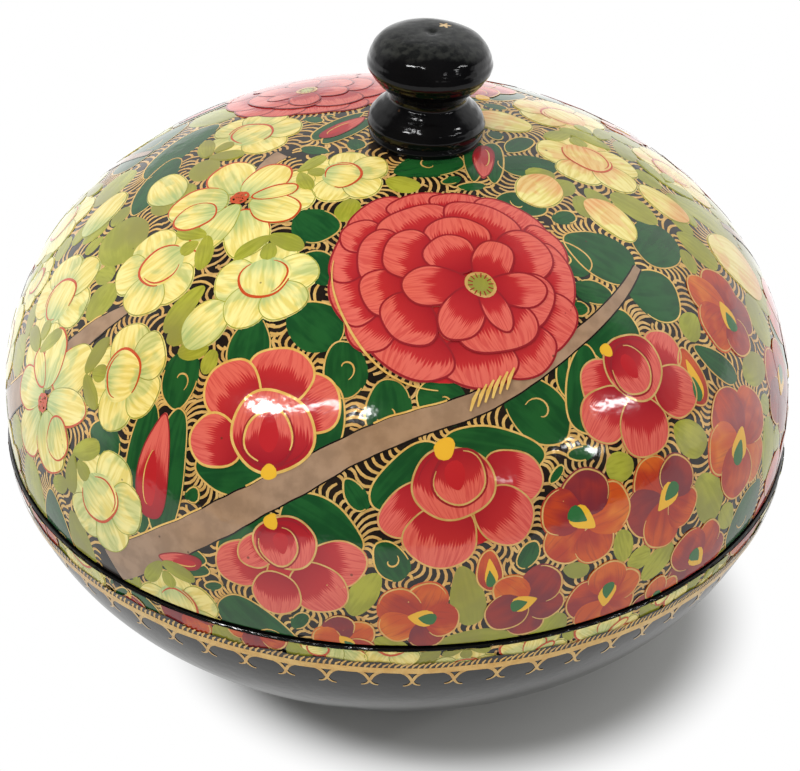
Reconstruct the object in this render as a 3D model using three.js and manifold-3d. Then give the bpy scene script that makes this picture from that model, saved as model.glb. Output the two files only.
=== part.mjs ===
// A round lidded trinket box of lacquered papier-mache with a turned wooden knob.
// Millimetres, +Z up. The origin is the centre of the foot, on the surface that the box stands on.
import * as THREE from "three";
import { mergeVertices } from "three/addons/utils/BufferGeometryUtils.js";
import Module from "manifold-3d";

const wasm = await Module();
wasm.setup();

// Body: a flattened globe in two halves
const bodyRadius = 70; // outside, at the widest level
const seamHeight = 45.6; // where the lid meets the bowl
const widestHeight = 53.1; // the globe is widest a little above the seam
const crownHeight = 102.1; // top of the dome, without the knob
const bowlBottomHeight = 2.4; // lowest point of the bowl, inside the foot
const domeShoulderPower = 2.22; // above 2 the dome stays full near its widest level
const domeCrownPower = 2.02; // above 2 the dome is flatter on top
const bellyShoulderPower = 1.79; // the same two numbers for the bowl
const bellyBottomPower = 2.27;

// Walls and the joint between the halves
const lidWall = 3.2;
const bowlWall = 3.6;
const rimStep = 0.7; // the bowl's rim stands this far outside the lid's
const seamGap = 0.35; // between the two rims with the lid on
const rimLandRounding = 0.5;

// Collar: a strip glued inside the bowl's mouth, which the lid drops over
const collarWall = 2.0;
const collarRise = 5.5; // above the bowl's rim
const collarDepth = 7.0; // below the bowl's rim
const collarLead = 0.8; // the top edge is eased so that the lid finds it
const lidClearance = 0.5; // between the collar and the lid, all round
const glueGap = 0.3; // between pieces that are glued together

// Foot: a low ring glued under the bowl
const footRadius = 30;
const footWall = 5.5;
const footFlare = 1.2; // the ring is this much narrower where it meets the bowl
const footEdge = 0.8;

// Knob: one piece of turned wood, with a peg that is glued through the crown
const knobOffset = 3.9; // set by hand, this far off the crown's centre
const knobLean = 2.0; // degrees, to the same side
const knobHeadRadius = 10.5;
const knobWaistRadius = 5.4;
const knobBaseRadius = 9.9;
const knobHeight = 18.7; // above the crown
const knobHeadHeight = 12.2; // from the underside of the head to its top
const knobWaistHeight = 5.9;
const knobBaseWidest = 2.6; // height of the base's widest level
const knobTopFlat = 2.4; // radius of the slightly sunk top
const knobTopDimple = 0.35; // depth of the centre mark left by the lathe
const pegRadius = 3.0;
const pegClearance = 0.3;
const pegProud = 0.8; // the peg ends this far inside the lid

// How finely round things are divided
const bodySteps = 64;
const arcSteps = 9;
const knobSteps = 40;

const black = new THREE.MeshStandardMaterial({ color: 0x0b0b0c, roughness: 0.18, metalness: 0 });
const painted = new THREE.MeshStandardMaterial({ color: 0x8a5a35, roughness: 0.2, metalness: 0 });
const blackWood = new THREE.MeshStandardMaterial({ color: 0x0d0d0f, roughness: 0.22, metalness: 0 });

// The radius of a superellipse quarter, from 1 at share 0 to 0 at share 1 of its height
function quarter(share, shoulderPower, endPower) {
  return Math.pow(Math.max(0, 1 - Math.pow(share, endPower)), 1 / shoulderPower);
}

// The outside radius of the whole globe at a height, drawn in by inset all over
function globeRadius(height, inset) {
  const radius = bodyRadius - inset;
  if (height >= widestHeight) {
    const share = (height - widestHeight) / (crownHeight - inset - widestHeight);
    return radius * quarter(Math.min(1, share), domeShoulderPower, domeCrownPower);
  }
  const share = (widestHeight - height) / (widestHeight - bowlBottomHeight - inset);
  return radius * quarter(Math.min(1, share), bellyShoulderPower, bellyBottomPower);
}

// Profile points from one height to the top or the bottom pole, closer together near the pole
function towardsPole(from, inset, up) {
  const pole = up ? crownHeight - inset : bowlBottomHeight + inset;
  const points = [];
  for (let i = 0; i <= arcSteps; i++) {
    const height = from + (pole - from) * Math.sin((i / arcSteps) * (Math.PI / 2));
    points.push(new THREE.Vector2(i === arcSteps ? 0 : globeRadius(height, inset), height));
  }
  return points;
}

// Profile points between two heights, both included
function between(from, to, inset, steps) {
  const points = [];
  for (let i = 0; i <= steps; i++) {
    const height = from + ((to - from) * i) / steps;
    points.push(new THREE.Vector2(globeRadius(height, inset), height));
  }
  return points;
}

// A closed body turned from a profile that starts and ends on the axis or closes on itself
function turned(points, steps) {
  const geometry = new THREE.LatheGeometry(points, steps);
  geometry.rotateX(Math.PI / 2);
  return geometry;
}

function solidOf(geometry) {
  const bare = new THREE.BufferGeometry();
  bare.setAttribute("position", geometry.getAttribute("position"));
  if (geometry.index) bare.setIndex(geometry.index);
  const merged = mergeVertices(bare, 1e-4);
  const mesh = new wasm.Mesh({
    numProp: 3,
    vertProperties: merged.attributes.position.array,
    triVerts: new Uint32Array(merged.index.array),
  });
  return new wasm.Manifold(mesh);
}

function geometryOf(solid) {
  const mesh = solid.getMesh();
  const geometry = new THREE.BufferGeometry();
  geometry.setAttribute("position", new THREE.BufferAttribute(mesh.vertProperties, 3));
  geometry.setIndex(new THREE.BufferAttribute(mesh.triVerts, 1));
  return geometry;
}

function piece(name, geometry, material) {
  const made = new THREE.Mesh(geometry, material);
  made.name = name;
  return made;
}

const lidRim = seamHeight + seamGap;
const lidInset = rimStep;
const lidMouth = globeRadius(seamHeight, lidInset) - lidWall; // inside radius at the lid's rim
const collarOuter = lidMouth - lidClearance;
const collarInner = collarOuter - collarWall;
const collarTop = seamHeight + collarRise;
const collarBottom = seamHeight - collarDepth;
const bowlSeat = collarOuter + glueGap; // the rebate in the bowl that holds the collar

function bowlShell() {
  const rim = globeRadius(seamHeight, 0);
  const ledge = collarBottom - glueGap;
  const outside = towardsPole(seamHeight - rimLandRounding, 0, false).reverse();
  const inside = towardsPole(ledge, bowlWall, false);
  const mouth = [
    new THREE.Vector2(rim - rimLandRounding, seamHeight),
    new THREE.Vector2(bowlSeat, seamHeight),
    new THREE.Vector2(bowlSeat, ledge),
  ];
  return turned([...outside, ...mouth, ...inside], bodySteps);
}

function collar() {
  const points = [
    new THREE.Vector2(collarInner, collarBottom),
    new THREE.Vector2(collarOuter, collarBottom),
    new THREE.Vector2(collarOuter, collarTop - collarLead),
    new THREE.Vector2(collarOuter - collarLead, collarTop),
    new THREE.Vector2(collarInner, collarTop),
    new THREE.Vector2(collarInner, collarBottom),
  ];
  return turned(points, bodySteps);
}

// The foot's top follows the bowl's underside
function footRing() {
  const inner = footRadius - footWall;
  const topSteps = 3;
  const points = [
    new THREE.Vector2(inner, 0),
    new THREE.Vector2(footRadius - footEdge, 0),
    new THREE.Vector2(footRadius, footEdge),
  ];
  for (let i = 0; i <= topSteps; i++) {
    const radius = footRadius - footFlare - ((footWall - footFlare) * i) / topSteps;
    points.push(new THREE.Vector2(radius, bellyHeight(radius) - glueGap));
  }
  points.push(new THREE.Vector2(inner, 0));
  return turned(points, bodySteps);
}

// The height of the bowl's underside at a radius
function bellyHeight(radius) {
  const share = Math.pow(1 - Math.pow(radius / bodyRadius, bellyShoulderPower), 1 / bellyBottomPower);
  return widestHeight - share * (widestHeight - bowlBottomHeight);
}

function lidBlank() {
  const skirt = between(lidRim, widestHeight, lidInset, 2);
  const innerInset = lidInset + lidWall;
  const outside = [...skirt.slice(0, -1), ...towardsPole(widestHeight, lidInset, true)];
  const inside = towardsPole(widestHeight, innerInset, true).reverse();
  const rim = [new THREE.Vector2(lidMouth, collarTop), new THREE.Vector2(lidMouth, lidRim)];
  return turned([...outside, ...inside, ...rim, outside[0].clone()], bodySteps);
}

// Where the knob's own frame stands: on the crown, off centre and leaning
const knobPlace = new THREE.Group();
knobPlace.position.set(knobOffset, 0, crownHeight - lidInset);
knobPlace.rotation.set(0, THREE.MathUtils.degToRad(knobLean), 0);
knobPlace.updateMatrix();

function peg(radius, top, bottom) {
  const points = [
    new THREE.Vector2(0, bottom),
    new THREE.Vector2(radius, bottom),
    new THREE.Vector2(radius, top),
    new THREE.Vector2(0, top),
  ];
  return turned(points, knobSteps);
}

function lidShell() {
  const reach = lidWall * 2;
  const bore = peg(pegRadius + pegClearance, reach, -reach).applyMatrix4(knobPlace.matrix);
  return geometryOf(solidOf(lidBlank()).subtract(solidOf(bore)));
}

// The knob's outline above the crown: a swelling base, a waist and a mushroom head
function knobOutline() {
  const headBottom = knobHeight - knobHeadHeight;
  const headMiddle = headBottom + knobHeadHeight * 0.42;
  const sink = -lidWall / 2; // the base is turned long, then cut to the dome
  const points = [
    [0, sink],
    [knobBaseRadius * 0.93, sink],
    [knobBaseRadius * 0.96, knobBaseWidest * 0.3],
    [knobBaseRadius, knobBaseWidest],
    [knobBaseRadius * 0.93, knobBaseWidest * 1.5],
    [knobBaseRadius * 0.77, knobBaseWidest * 1.9],
    [knobWaistRadius * 1.06, knobWaistHeight * 0.94],
    [knobWaistRadius, knobWaistHeight],
    [knobWaistRadius * 1.08, headBottom],
    [knobHeadRadius * 0.78, headBottom + knobHeadHeight * 0.06],
    [knobHeadRadius * 0.92, headBottom + knobHeadHeight * 0.14],
    [knobHeadRadius * 0.985, headBottom + knobHeadHeight * 0.26],
    [knobHeadRadius, headMiddle],
  ].map(([radius, height]) => new THREE.Vector2(radius, height));
  const capSteps = 6;
  for (let i = 1; i <= capSteps; i++) {
    const turn = (i / capSteps) * (Math.PI / 2);
    const radius = knobTopFlat + (knobHeadRadius - knobTopFlat) * Math.cos(turn);
    points.push(new THREE.Vector2(radius, headMiddle + (knobHeight - headMiddle) * Math.sin(turn)));
  }
  points.push(new THREE.Vector2(0, knobHeight - knobTopDimple));
  return points;
}

function knob() {
  const toKnob = knobPlace.matrix.clone().invert();
  const dome = [new THREE.Vector2(0, widestHeight), ...towardsPole(widestHeight, lidInset - glueGap, true)];
  const seat = turned(dome, bodySteps).applyMatrix4(toKnob);
  const body = solidOf(turned(knobOutline(), knobSteps)).subtract(solidOf(seat));
  const shank = solidOf(peg(pegRadius, knobBaseWidest, -lidWall - pegProud));
  return geometryOf(body.add(shank));
}

const bowl = new THREE.Group();
bowl.add(piece("bowl_shell", bowlShell(), painted));
bowl.add(piece("bowl_collar", collar(), black));
bowl.add(piece("foot_ring", footRing(), black));

const lid = new THREE.Group();
lid.add(piece("lid_shell", lidShell(), painted));
knobPlace.add(piece("knob", knob(), blackWood));
lid.add(knobPlace);

const box = new THREE.Group();
box.add(bowl, lid);
export default box;
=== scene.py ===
# %% [markdown]
# # A trinket box of lacquered papier-mache
# The real box is one hollow ball of pulp, cut in two, with a turned knob and a low foot.
# A painter covers it with a black ground, lays flowers and leaves in flat colours, shades
# every petal with rows of fine strokes, outlines it, fills what is left with gold comb
# strokes, and brushes clear lacquer over the whole. Here each brush mark is a thin sheet
# that lies on the dome, so an outline stays as sharp as a brush can make it.

# %% The frame: the measured model that everything is fitted to
import math

import bpy
import numpy as np
from mathutils import Matrix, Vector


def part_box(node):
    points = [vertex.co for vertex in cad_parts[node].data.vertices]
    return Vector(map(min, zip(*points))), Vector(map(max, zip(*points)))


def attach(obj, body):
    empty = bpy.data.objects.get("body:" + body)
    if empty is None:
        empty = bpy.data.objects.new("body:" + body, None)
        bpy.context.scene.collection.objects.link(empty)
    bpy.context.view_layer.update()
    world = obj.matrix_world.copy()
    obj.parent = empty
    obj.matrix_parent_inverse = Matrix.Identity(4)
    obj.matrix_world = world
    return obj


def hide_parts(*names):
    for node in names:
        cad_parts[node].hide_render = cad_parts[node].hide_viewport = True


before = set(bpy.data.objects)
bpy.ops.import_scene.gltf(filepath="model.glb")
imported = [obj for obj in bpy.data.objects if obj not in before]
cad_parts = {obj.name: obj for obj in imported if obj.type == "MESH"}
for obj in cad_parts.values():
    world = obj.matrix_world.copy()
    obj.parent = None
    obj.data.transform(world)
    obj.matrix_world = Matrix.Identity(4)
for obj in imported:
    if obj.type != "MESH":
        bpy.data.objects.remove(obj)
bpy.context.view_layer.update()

MM = 0.001
lid_low, lid_high = (np.array(corner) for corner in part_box("lid_shell"))
bowl_low, bowl_high = (np.array(corner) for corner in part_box("bowl_shell"))
collar_low, collar_high = (np.array(corner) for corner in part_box("bowl_collar"))
foot_high = np.array(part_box("foot_ring")[1])
print("frame:", sorted(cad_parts), "seam at", round(bowl_high[2] / MM, 1), "mm")

# %% [markdown]
# ## The skin that is painted
# The ball is a superellipse turned round the Z axis: fuller than a ball at its shoulder and
# flatter on top. A brush mark is placed by the direction in which it is seen from the
# middle of the ball, so one function has to answer how far away the skin is that way.

# %% The ball as a formula
WIDEST = 53.1 * MM
DOME_SHOULDER, DOME_CROWN = 2.22, 2.02
BELLY_SHOULDER, BELLY_BOTTOM = 1.79, 2.27
RIM_STEP = 0.7 * MM
MIDDLE = np.array([0.0, 0.0, WIDEST])


class Skin:
    """One half's outside: radius at the widest level, height above it and depth below it."""

    def __init__(self, radius, rise, drop, low, high):
        self.radius, self.rise, self.drop = radius, rise, drop
        self.low, self.high = low, high

    def shape(self, upper):
        """Height from the middle to the pole, and the two powers, for the upper or the lower half."""
        up = (self.rise, DOME_SHOULDER, DOME_CROWN)
        down = (self.drop, BELLY_SHOULDER, BELLY_BOTTOM)
        return [np.where(upper, a, b) for a, b in zip(up, down)]

    def radius_at(self, height):
        """(radius share) ** shoulder + (height share) ** end = 1, solved for the radius."""
        reach, shoulder, end = self.shape(height >= WIDEST)
        share = np.clip(np.abs(height - WIDEST) / reach, 0, 1)
        return self.radius * (1 - share**end) ** (1 / shoulder)

    def level_radius(self, height):
        """The radius at one height, as a plain number."""
        return float(self.radius_at(np.array([height]))[0])

    def meet(self, toward):
        """Where rays from the middle meet the skin, and the skin's normals there. The same
        formula is solved for the distance by seven Newton steps from a plain ellipsoid."""
        toward = toward / np.linalg.norm(toward, axis=1, keepdims=True)
        flat = np.hypot(toward[:, 0], toward[:, 1])
        reach, shoulder, end = self.shape(toward[:, 2] >= 0)
        a = flat / self.radius
        b = np.abs(toward[:, 2]) / reach
        far = 1 / np.sqrt(a * a + b * b)
        for _ in range(7):
            side, tall = (a * far) ** shoulder, (b * far) ** end
            far = far - (side + tall - 1) * far / (shoulder * side + end * tall)
        points = MIDDLE + toward * far[:, None]
        slope = shoulder * (a * far) ** (shoulder - 1) / self.radius
        steep = end * (b * far) ** (end - 1) / reach * np.sign(toward[:, 2])
        around = toward[:, :2] / np.maximum(flat, 1e-9)[:, None]
        normals = np.column_stack([around * slope[:, None], steep])
        return points, normals / np.linalg.norm(normals, axis=1, keepdims=True)


lid_rim = lid_low[2]
lid_skin = Skin(lid_high[0], lid_high[2] - WIDEST, WIDEST - bowl_low[2] - RIM_STEP, lid_rim, lid_high[2])
bowl_skin = Skin(lid_high[0] + RIM_STEP, lid_skin.rise, WIDEST - bowl_low[2], bowl_low[2], bowl_high[2])
print("lid", round(lid_skin.radius / MM, 1), "bowl", round(bowl_skin.radius / MM, 1), "mm in radius")

# %% [markdown]
# ## Colours and lacquer
# All the paint lies under the same clear lacquer, so every material has the same gloss and
# the same faint waviness, which a shared group gives. The strokes inside a petal are a mask:
# dark at the petal's heart, with long uneven teeth that reach towards its rim.

# %% Helpers for node trees
def linear(red, green, blue):
    """A colour as seen on a screen, 0 to 255, turned into the linear light that Blender mixes."""
    shares = np.array([red, green, blue]) / 255
    light = np.where(shares <= 0.04045, shares / 12.92, ((shares + 0.055) / 1.055) ** 2.4)
    return (*map(float, light), 1.0)


def node(tree, kind, **settings):
    made = tree.nodes.new(kind)
    for name, value in settings.items():
        setattr(made, name, value)
    return made


def feed(tree, socket, value):
    if isinstance(value, bpy.types.NodeSocket):
        tree.links.new(value, socket)
    else:
        socket.default_value = value


def calc(tree, operation, first, second=0.0, third=0.0):
    """One sum. The third value counts only for MULTIPLY_ADD and COMPARE."""
    made = node(tree, "ShaderNodeMath", operation=operation)
    for socket, value in zip(made.inputs, (first, second, third)):
        feed(tree, socket, value)
    return made.outputs[0]


def times(tree, first, second):
    return calc(tree, "MULTIPLY", first, second)


def plus(tree, first, second):
    return calc(tree, "ADD", first, second)


def minus(tree, first, second):
    return calc(tree, "SUBTRACT", first, second)


def larger(tree, first, second):
    return calc(tree, "MAXIMUM", first, second)


def blend_colour(tree, share, first, second):
    made = node(tree, "ShaderNodeMix", data_type="RGBA")
    for socket, value in zip((made.inputs[0], made.inputs[6], made.inputs[7]), (share, first, second)):
        feed(tree, socket, value)
    return made.outputs[2]


def smooth(tree, value, low, high):
    made = node(tree, "ShaderNodeMapRange", interpolation_type="SMOOTHSTEP")
    for socket, fed in zip(made.inputs, (value, low, high, 0.0, 1.0)):
        feed(tree, socket, fed)
    return made.outputs[0]


def noise(tree, where, scale, detail=2.0):
    made = node(tree, "ShaderNodeTexNoise")
    for name, value in (("Vector", where), ("Scale", scale), ("Detail", detail)):
        feed(tree, made.inputs[name], value)
    return made.outputs["Fac"]


def split(tree, vector):
    """The three numbers of a vector, as outputs named X, Y and Z."""
    made = node(tree, "ShaderNodeSeparateXYZ")
    feed(tree, made.inputs[0], vector)
    return made.outputs


def own_place(tree):
    """A point's place in its piece, in metres. It stays with the piece when the lid moves."""
    return node(tree, "ShaderNodeTexCoord").outputs["Object"]


def own_tint(tree):
    """The number from 0 to 1 that every brush mark carries, which picks its tone."""
    return node(tree, "ShaderNodeAttribute", attribute_name="tint").outputs["Fac"]


def petal_map(tree):
    """Across and along a petal, leaf or stroke, each from 0 to 1."""
    return node(tree, "ShaderNodeUVMap", uv_map="UVMap").outputs["UV"]


def new_group(name, inputs, outputs):
    """A shader group with its named sockets. Returns the tree and its two ends."""
    tree = bpy.data.node_groups.new(name, "ShaderNodeTree")
    for title, kind, default in inputs:
        socket = tree.interface.new_socket(title, in_out="INPUT", socket_type=kind)
        socket.default_value = default
    for title, kind in outputs:
        tree.interface.new_socket(title, in_out="OUTPUT", socket_type=kind)
    return tree, tree.nodes.new("NodeGroupInput"), tree.nodes.new("NodeGroupOutput")


def use_group(tree, group, **values):
    made = node(tree, "ShaderNodeGroup")
    made.node_tree = group
    for title, value in values.items():
        feed(tree, made.inputs[title], value)
    return made


FLOAT, VECTOR = "NodeSocketFloat", "NodeSocketVector"

# %% The lacquer's surface: broad waves from the hand, fine ones from the brush
WAVE_HEIGHT = 0.45 * MM
FINE_SHARE = 0.11
lacquer_tree, start, end = new_group(
    "lacquer_surface",
    [("Waves", FLOAT, 1.0), ("Brush", FLOAT, 1.0)],
    [("Normal", VECTOR)],
)
coordinates = own_place(lacquer_tree)
broad = noise(lacquer_tree, coordinates, 55.0, 1.0)
fine = noise(lacquer_tree, coordinates, 420.0, 2.0)
broad_height = times(lacquer_tree, broad, start.outputs["Waves"])
fine_height = times(lacquer_tree, fine, FINE_SHARE)
fine_height = times(lacquer_tree, fine_height, start.outputs["Brush"])
bump = node(lacquer_tree, "ShaderNodeBump")
bump.inputs["Strength"].default_value = 1.0
bump.inputs["Distance"].default_value = WAVE_HEIGHT
feed(lacquer_tree, bump.inputs["Height"], plus(lacquer_tree, broad_height, fine_height))
feed(lacquer_tree, end.inputs["Normal"], bump.outputs["Normal"])

# %% The comb strokes inside a petal: a mask with teeth
comb_tree, start, end = new_group(
    "comb_strokes",
    [
        ("Edge", FLOAT, 0.5), ("Teeth", FLOAT, 11.0), ("Length", FLOAT, 0.3),
        ("Soft", FLOAT, 0.1), ("Sides", FLOAT, 0.3),
    ],
    [("Mask", FLOAT), ("Tint", FLOAT), ("Along", FLOAT)],
)
parts = split(comb_tree, petal_map(comb_tree))
tint = own_tint(comb_tree)
shift = times(comb_tree, tint, 53.0)
across = calc(comb_tree, "MULTIPLY_ADD", parts["X"], start.outputs["Teeth"], shift)
tooth = node(comb_tree, "ShaderNodeTexWhiteNoise", noise_dimensions="1D")
feed(comb_tree, tooth.inputs["W"], calc(comb_tree, "FLOOR", across))
middle = calc(comb_tree, "ABSOLUTE", minus(comb_tree, calc(comb_tree, "FRACT", across), 0.5))
spike = minus(comb_tree, 1.0, times(comb_tree, middle, 2.0))
spike = calc(comb_tree, "POWER", spike, 0.7)
chance = calc(comb_tree, "MULTIPLY_ADD", tooth.outputs["Value"], 0.6, 0.4)
reach = times(comb_tree, spike, times(comb_tree, chance, start.outputs["Length"]))
slow_place = node(comb_tree, "ShaderNodeCombineXYZ")
feed(comb_tree, slow_place.inputs["X"], times(comb_tree, across, 0.23))
feed(comb_tree, slow_place.inputs["Y"], times(comb_tree, parts["Y"], 1.5))
slow = minus(comb_tree, noise(comb_tree, slow_place.outputs[0], 1.0, 1.0), 0.5)
edge = plus(comb_tree, start.outputs["Edge"], times(comb_tree, slow, 0.35))
edge = plus(comb_tree, edge, reach)
aside = calc(comb_tree, "ABSOLUTE", minus(comb_tree, parts["X"], 0.5))
aside = calc(comb_tree, "POWER", times(comb_tree, aside, 2.0), 3.0)
edge = minus(comb_tree, edge, times(comb_tree, aside, start.outputs["Sides"]))
under = minus(comb_tree, edge, parts["Y"])
soft = start.outputs["Soft"]
feed(comb_tree, end.inputs["Mask"], smooth(comb_tree, under, times(comb_tree, soft, -1.0), soft))
feed(comb_tree, end.inputs["Tint"], tint)
feed(comb_tree, end.inputs["Along"], parts["Y"])

# %% The brush's own streaks, which run up a petal or a leaf
streak_tree, start, end = new_group(
    "brush_streaks",
    [("Count", FLOAT, 14.0), ("Along", FLOAT, 2.0)],
    [("Streak", FLOAT)],
)
parts = split(streak_tree, petal_map(streak_tree))
place = node(streak_tree, "ShaderNodeCombineXYZ")
feed(streak_tree, place.inputs["X"], times(streak_tree, parts["X"], start.outputs["Count"]))
feed(streak_tree, place.inputs["Y"], times(streak_tree, parts["Y"], start.outputs["Along"]))
feed(streak_tree, place.inputs["Z"], times(streak_tree, own_tint(streak_tree), 71.0))
feed(streak_tree, end.inputs["Streak"], noise(streak_tree, place.outputs[0], 1.0, 2.0))

# %% What age has done to the varnish: yellow clouds and small dark specks
age_tree, start, end = new_group(
    "old_varnish",
    [("Specks", FLOAT, 1.0)],
    [("Yellow", FLOAT), ("Speck", FLOAT)],
)
coordinates = own_place(age_tree)
clouds = noise(age_tree, coordinates, 45.0, 3.0)
feed(age_tree, end.inputs["Yellow"], smooth(age_tree, clouds, 0.3, 0.75))
cells = node(age_tree, "ShaderNodeTexVoronoi")
feed(age_tree, cells.inputs["Vector"], coordinates)
cells.inputs["Scale"].default_value = 190.0
chosen = calc(age_tree, "GREATER_THAN", split(age_tree, cells.outputs["Color"])["X"], 0.6)
speck = times(age_tree, smooth(age_tree, cells.outputs["Distance"], 0.055, 0.03), chosen)
feed(age_tree, end.inputs["Speck"], times(age_tree, speck, start.outputs["Specks"]))


# %% Materials: every one is paint under the same lacquer
LACQUER_IOR = 1.55
SPECK_SHARE, YELLOW_SHARE = 0.7, 0.5


def lacquered(name, colour, roughness=0.09, waves=1.0, brush=1.0, metallic=0.0, shine=0.5):
    """A Principled BSDF. The colour and the roughness are each a value, or a function that
    builds it in the tree."""
    material = bpy.data.materials.new(name)
    material.use_nodes = True
    tree = material.node_tree
    shader = tree.nodes["Principled BSDF"]
    paint = colour(tree) if callable(colour) else colour
    age = use_group(tree, age_tree, Specks=SPECK_SHARE)
    warm = node(tree, "ShaderNodeMix", data_type="RGBA", blend_type="MULTIPLY")
    feed(tree, warm.inputs[0], times(tree, age.outputs["Yellow"], YELLOW_SHARE))
    feed(tree, warm.inputs[6], paint)
    warm.inputs[7].default_value = linear(250, 226, 176)
    paint = blend_colour(tree, age.outputs["Speck"], warm.outputs[2], linear(70, 48, 30))
    feed(tree, shader.inputs["Base Color"], paint)
    feed(tree, shader.inputs["Roughness"], roughness(tree) if callable(roughness) else roughness)
    shader.inputs["Metallic"].default_value = metallic
    shader.inputs["IOR"].default_value = LACQUER_IOR
    shader.inputs["Specular IOR Level"].default_value = shine
    surface = use_group(tree, lacquer_tree, Waves=waves, Brush=brush)
    feed(tree, shader.inputs["Normal"], surface.outputs["Normal"])
    return material


def blotches(tree, scale, detail=3.0):
    """Soft noise. A larger scale makes smaller blotches."""
    return noise(tree, own_place(tree), scale, detail)


def uneven(first, second, scale):
    """Paint laid unevenly: two tones of one colour in soft blotches."""
    def build(tree):
        return blend_colour(tree, smooth(tree, blotches(tree, scale), 0.35, 0.65), first, second)
    return build


def by_tint(tree, tones):
    """One tone for each equal stretch of the tint, without blending. A new ramp has two
    elements, and the others are added."""
    ramp = node(tree, "ShaderNodeValToRGB")
    ramp.color_ramp.interpolation = "CONSTANT"
    elements = ramp.color_ramp.elements
    for i, tone in enumerate(tones):
        start = i / len(tones)
        element = elements[i] if i < 2 else elements.new(start)
        element.position = start
        element.color = tone
    feed(tree, ramp.inputs["Fac"], own_tint(tree))
    return ramp.outputs["Color"]


def rose_colour(tree):
    """Pink, with deep red teeth that reach out from the petal's root."""
    comb = use_group(tree, comb_tree, Edge=0.54, Teeth=25.0, Length=0.22, Soft=0.05, Sides=0.30)
    streaks = use_group(tree, streak_tree, Count=30.0, Along=2.0)
    fine = smooth(tree, streaks.outputs["Streak"], 0.42, 0.66)
    body = blend_colour(tree, fine, linear(218, 104, 92), linear(204, 82, 76))
    deep = blend_colour(tree, comb.outputs["Along"], linear(154, 26, 38), linear(204, 54, 54))
    return blend_colour(tree, comb.outputs["Mask"], body, deep)


def cream_colour(tree):
    """Tint below a half is shaded with green, above it with apricot. The shade lies at the
    petal's root, and fainter in a patch on one side."""
    comb = use_group(tree, comb_tree, Edge=0.30, Teeth=9.0, Length=0.16, Soft=0.24, Sides=0.1)
    warm = calc(tree, "GREATER_THAN", comb.outputs["Tint"], 0.5)
    shade = blend_colour(tree, warm, linear(146, 180, 122), linear(226, 146, 92))
    streaks = use_group(tree, streak_tree, Count=11.0, Along=1.6)
    light = smooth(tree, streaks.outputs["Streak"], 0.36, 0.62)
    body = blend_colour(tree, light, linear(226, 208, 112), linear(242, 230, 152))
    patch = times(tree, smooth(tree, blotches(tree, 190.0, 2.0), 0.52, 0.62), 0.6)
    shaded = larger(tree, times(tree, comb.outputs["Mask"], 0.85), patch)
    edge = times(tree, smooth(tree, streaks.outputs["Streak"], 0.30, 0.60), 0.35)
    shaded = times(tree, shaded, minus(tree, 1.0, edge))
    return blend_colour(tree, shaded, body, shade)


def primrose_colour(tree):
    """The tint picks orange, red or maroon. Each petal runs into its darker neighbour tone at
    its root and down one side, as wet paint does."""
    pairs = [
        (linear(216, 120, 40), linear(196, 80, 30)), (linear(200, 84, 34), linear(166, 52, 36)),
        (linear(188, 68, 36), linear(146, 44, 46)), (linear(206, 98, 38), linear(178, 58, 34)),
        (linear(150, 50, 46), linear(122, 44, 52)),
    ]
    tones, nexts = zip(*pairs)
    comb = use_group(tree, comb_tree, Edge=0.34, Teeth=3.0, Length=0.4, Soft=0.34, Sides=0.0)
    patch = smooth(tree, blotches(tree, 170.0, 2.0), 0.40, 0.62)
    run = larger(tree, patch, comb.outputs["Mask"])
    base = blend_colour(tree, run, by_tint(tree, tones), by_tint(tree, nexts))
    streaks = use_group(tree, streak_tree, Count=16.0, Along=1.2)
    dark = times(tree, smooth(tree, streaks.outputs["Streak"], 0.5, 0.7), 0.3)
    return blend_colour(tree, dark, base, linear(120, 36, 44))


def leaf_colour(tree):
    """Tint below a half is a dark leaf, above it a lime one."""
    streaks = use_group(tree, streak_tree, Count=8.0, Along=1.5).outputs["Streak"]
    both = times(tree, plus(tree, streaks, blotches(tree, 200.0)), 0.5)
    patch = smooth(tree, both, 0.40, 0.60)
    dark = blend_colour(tree, patch, linear(20, 72, 34), linear(30, 88, 41))
    lime = blend_colour(tree, patch, linear(170, 172, 60), linear(148, 152, 46))
    dull = blend_colour(tree, smooth(tree, blotches(tree, 70.0), 0.42, 0.68), lime, linear(140, 140, 64))
    return blend_colour(tree, calc(tree, "GREATER_THAN", own_tint(tree), 0.5), dark, dull)


def gold_colour(tree):
    """The tint goes from dull to bright gold."""
    worn = smooth(tree, blotches(tree, 600.0), 0.3, 0.7)
    dull = blend_colour(tree, worn, linear(214, 176, 116), linear(194, 152, 92))
    bright = blend_colour(tree, worn, linear(240, 202, 118), linear(228, 182, 92))
    return blend_colour(tree, own_tint(tree), dull, bright)


def line_colour(tree):
    """Crimson below a half, orange above it."""
    return by_tint(tree, [linear(146, 34, 42), linear(196, 76, 34)])


# The tints of the accent paint: each lies in the middle of a fifth
YELLOW, EYE_GREEN, DEEP, BROWN, BLACK = 0.1, 0.3, 0.5, 0.7, 0.9


def accent_colour(tree):
    """The bough's brown is streaked. The other tones are flat."""
    streak = smooth(tree, blotches(tree, 330.0, 4.0), 0.35, 0.65)
    brown = blend_colour(tree, streak, linear(166, 136, 110), linear(148, 120, 96))
    no_tone = (0, 0, 0, 1)
    tones = [linear(232, 180, 50), linear(48, 108, 58), linear(184, 36, 42), no_tone, linear(26, 20, 15)]
    is_bough = calc(tree, "COMPARE", own_tint(tree), BROWN, 0.05)
    return blend_colour(tree, is_bough, by_tint(tree, tones), brown)


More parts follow.
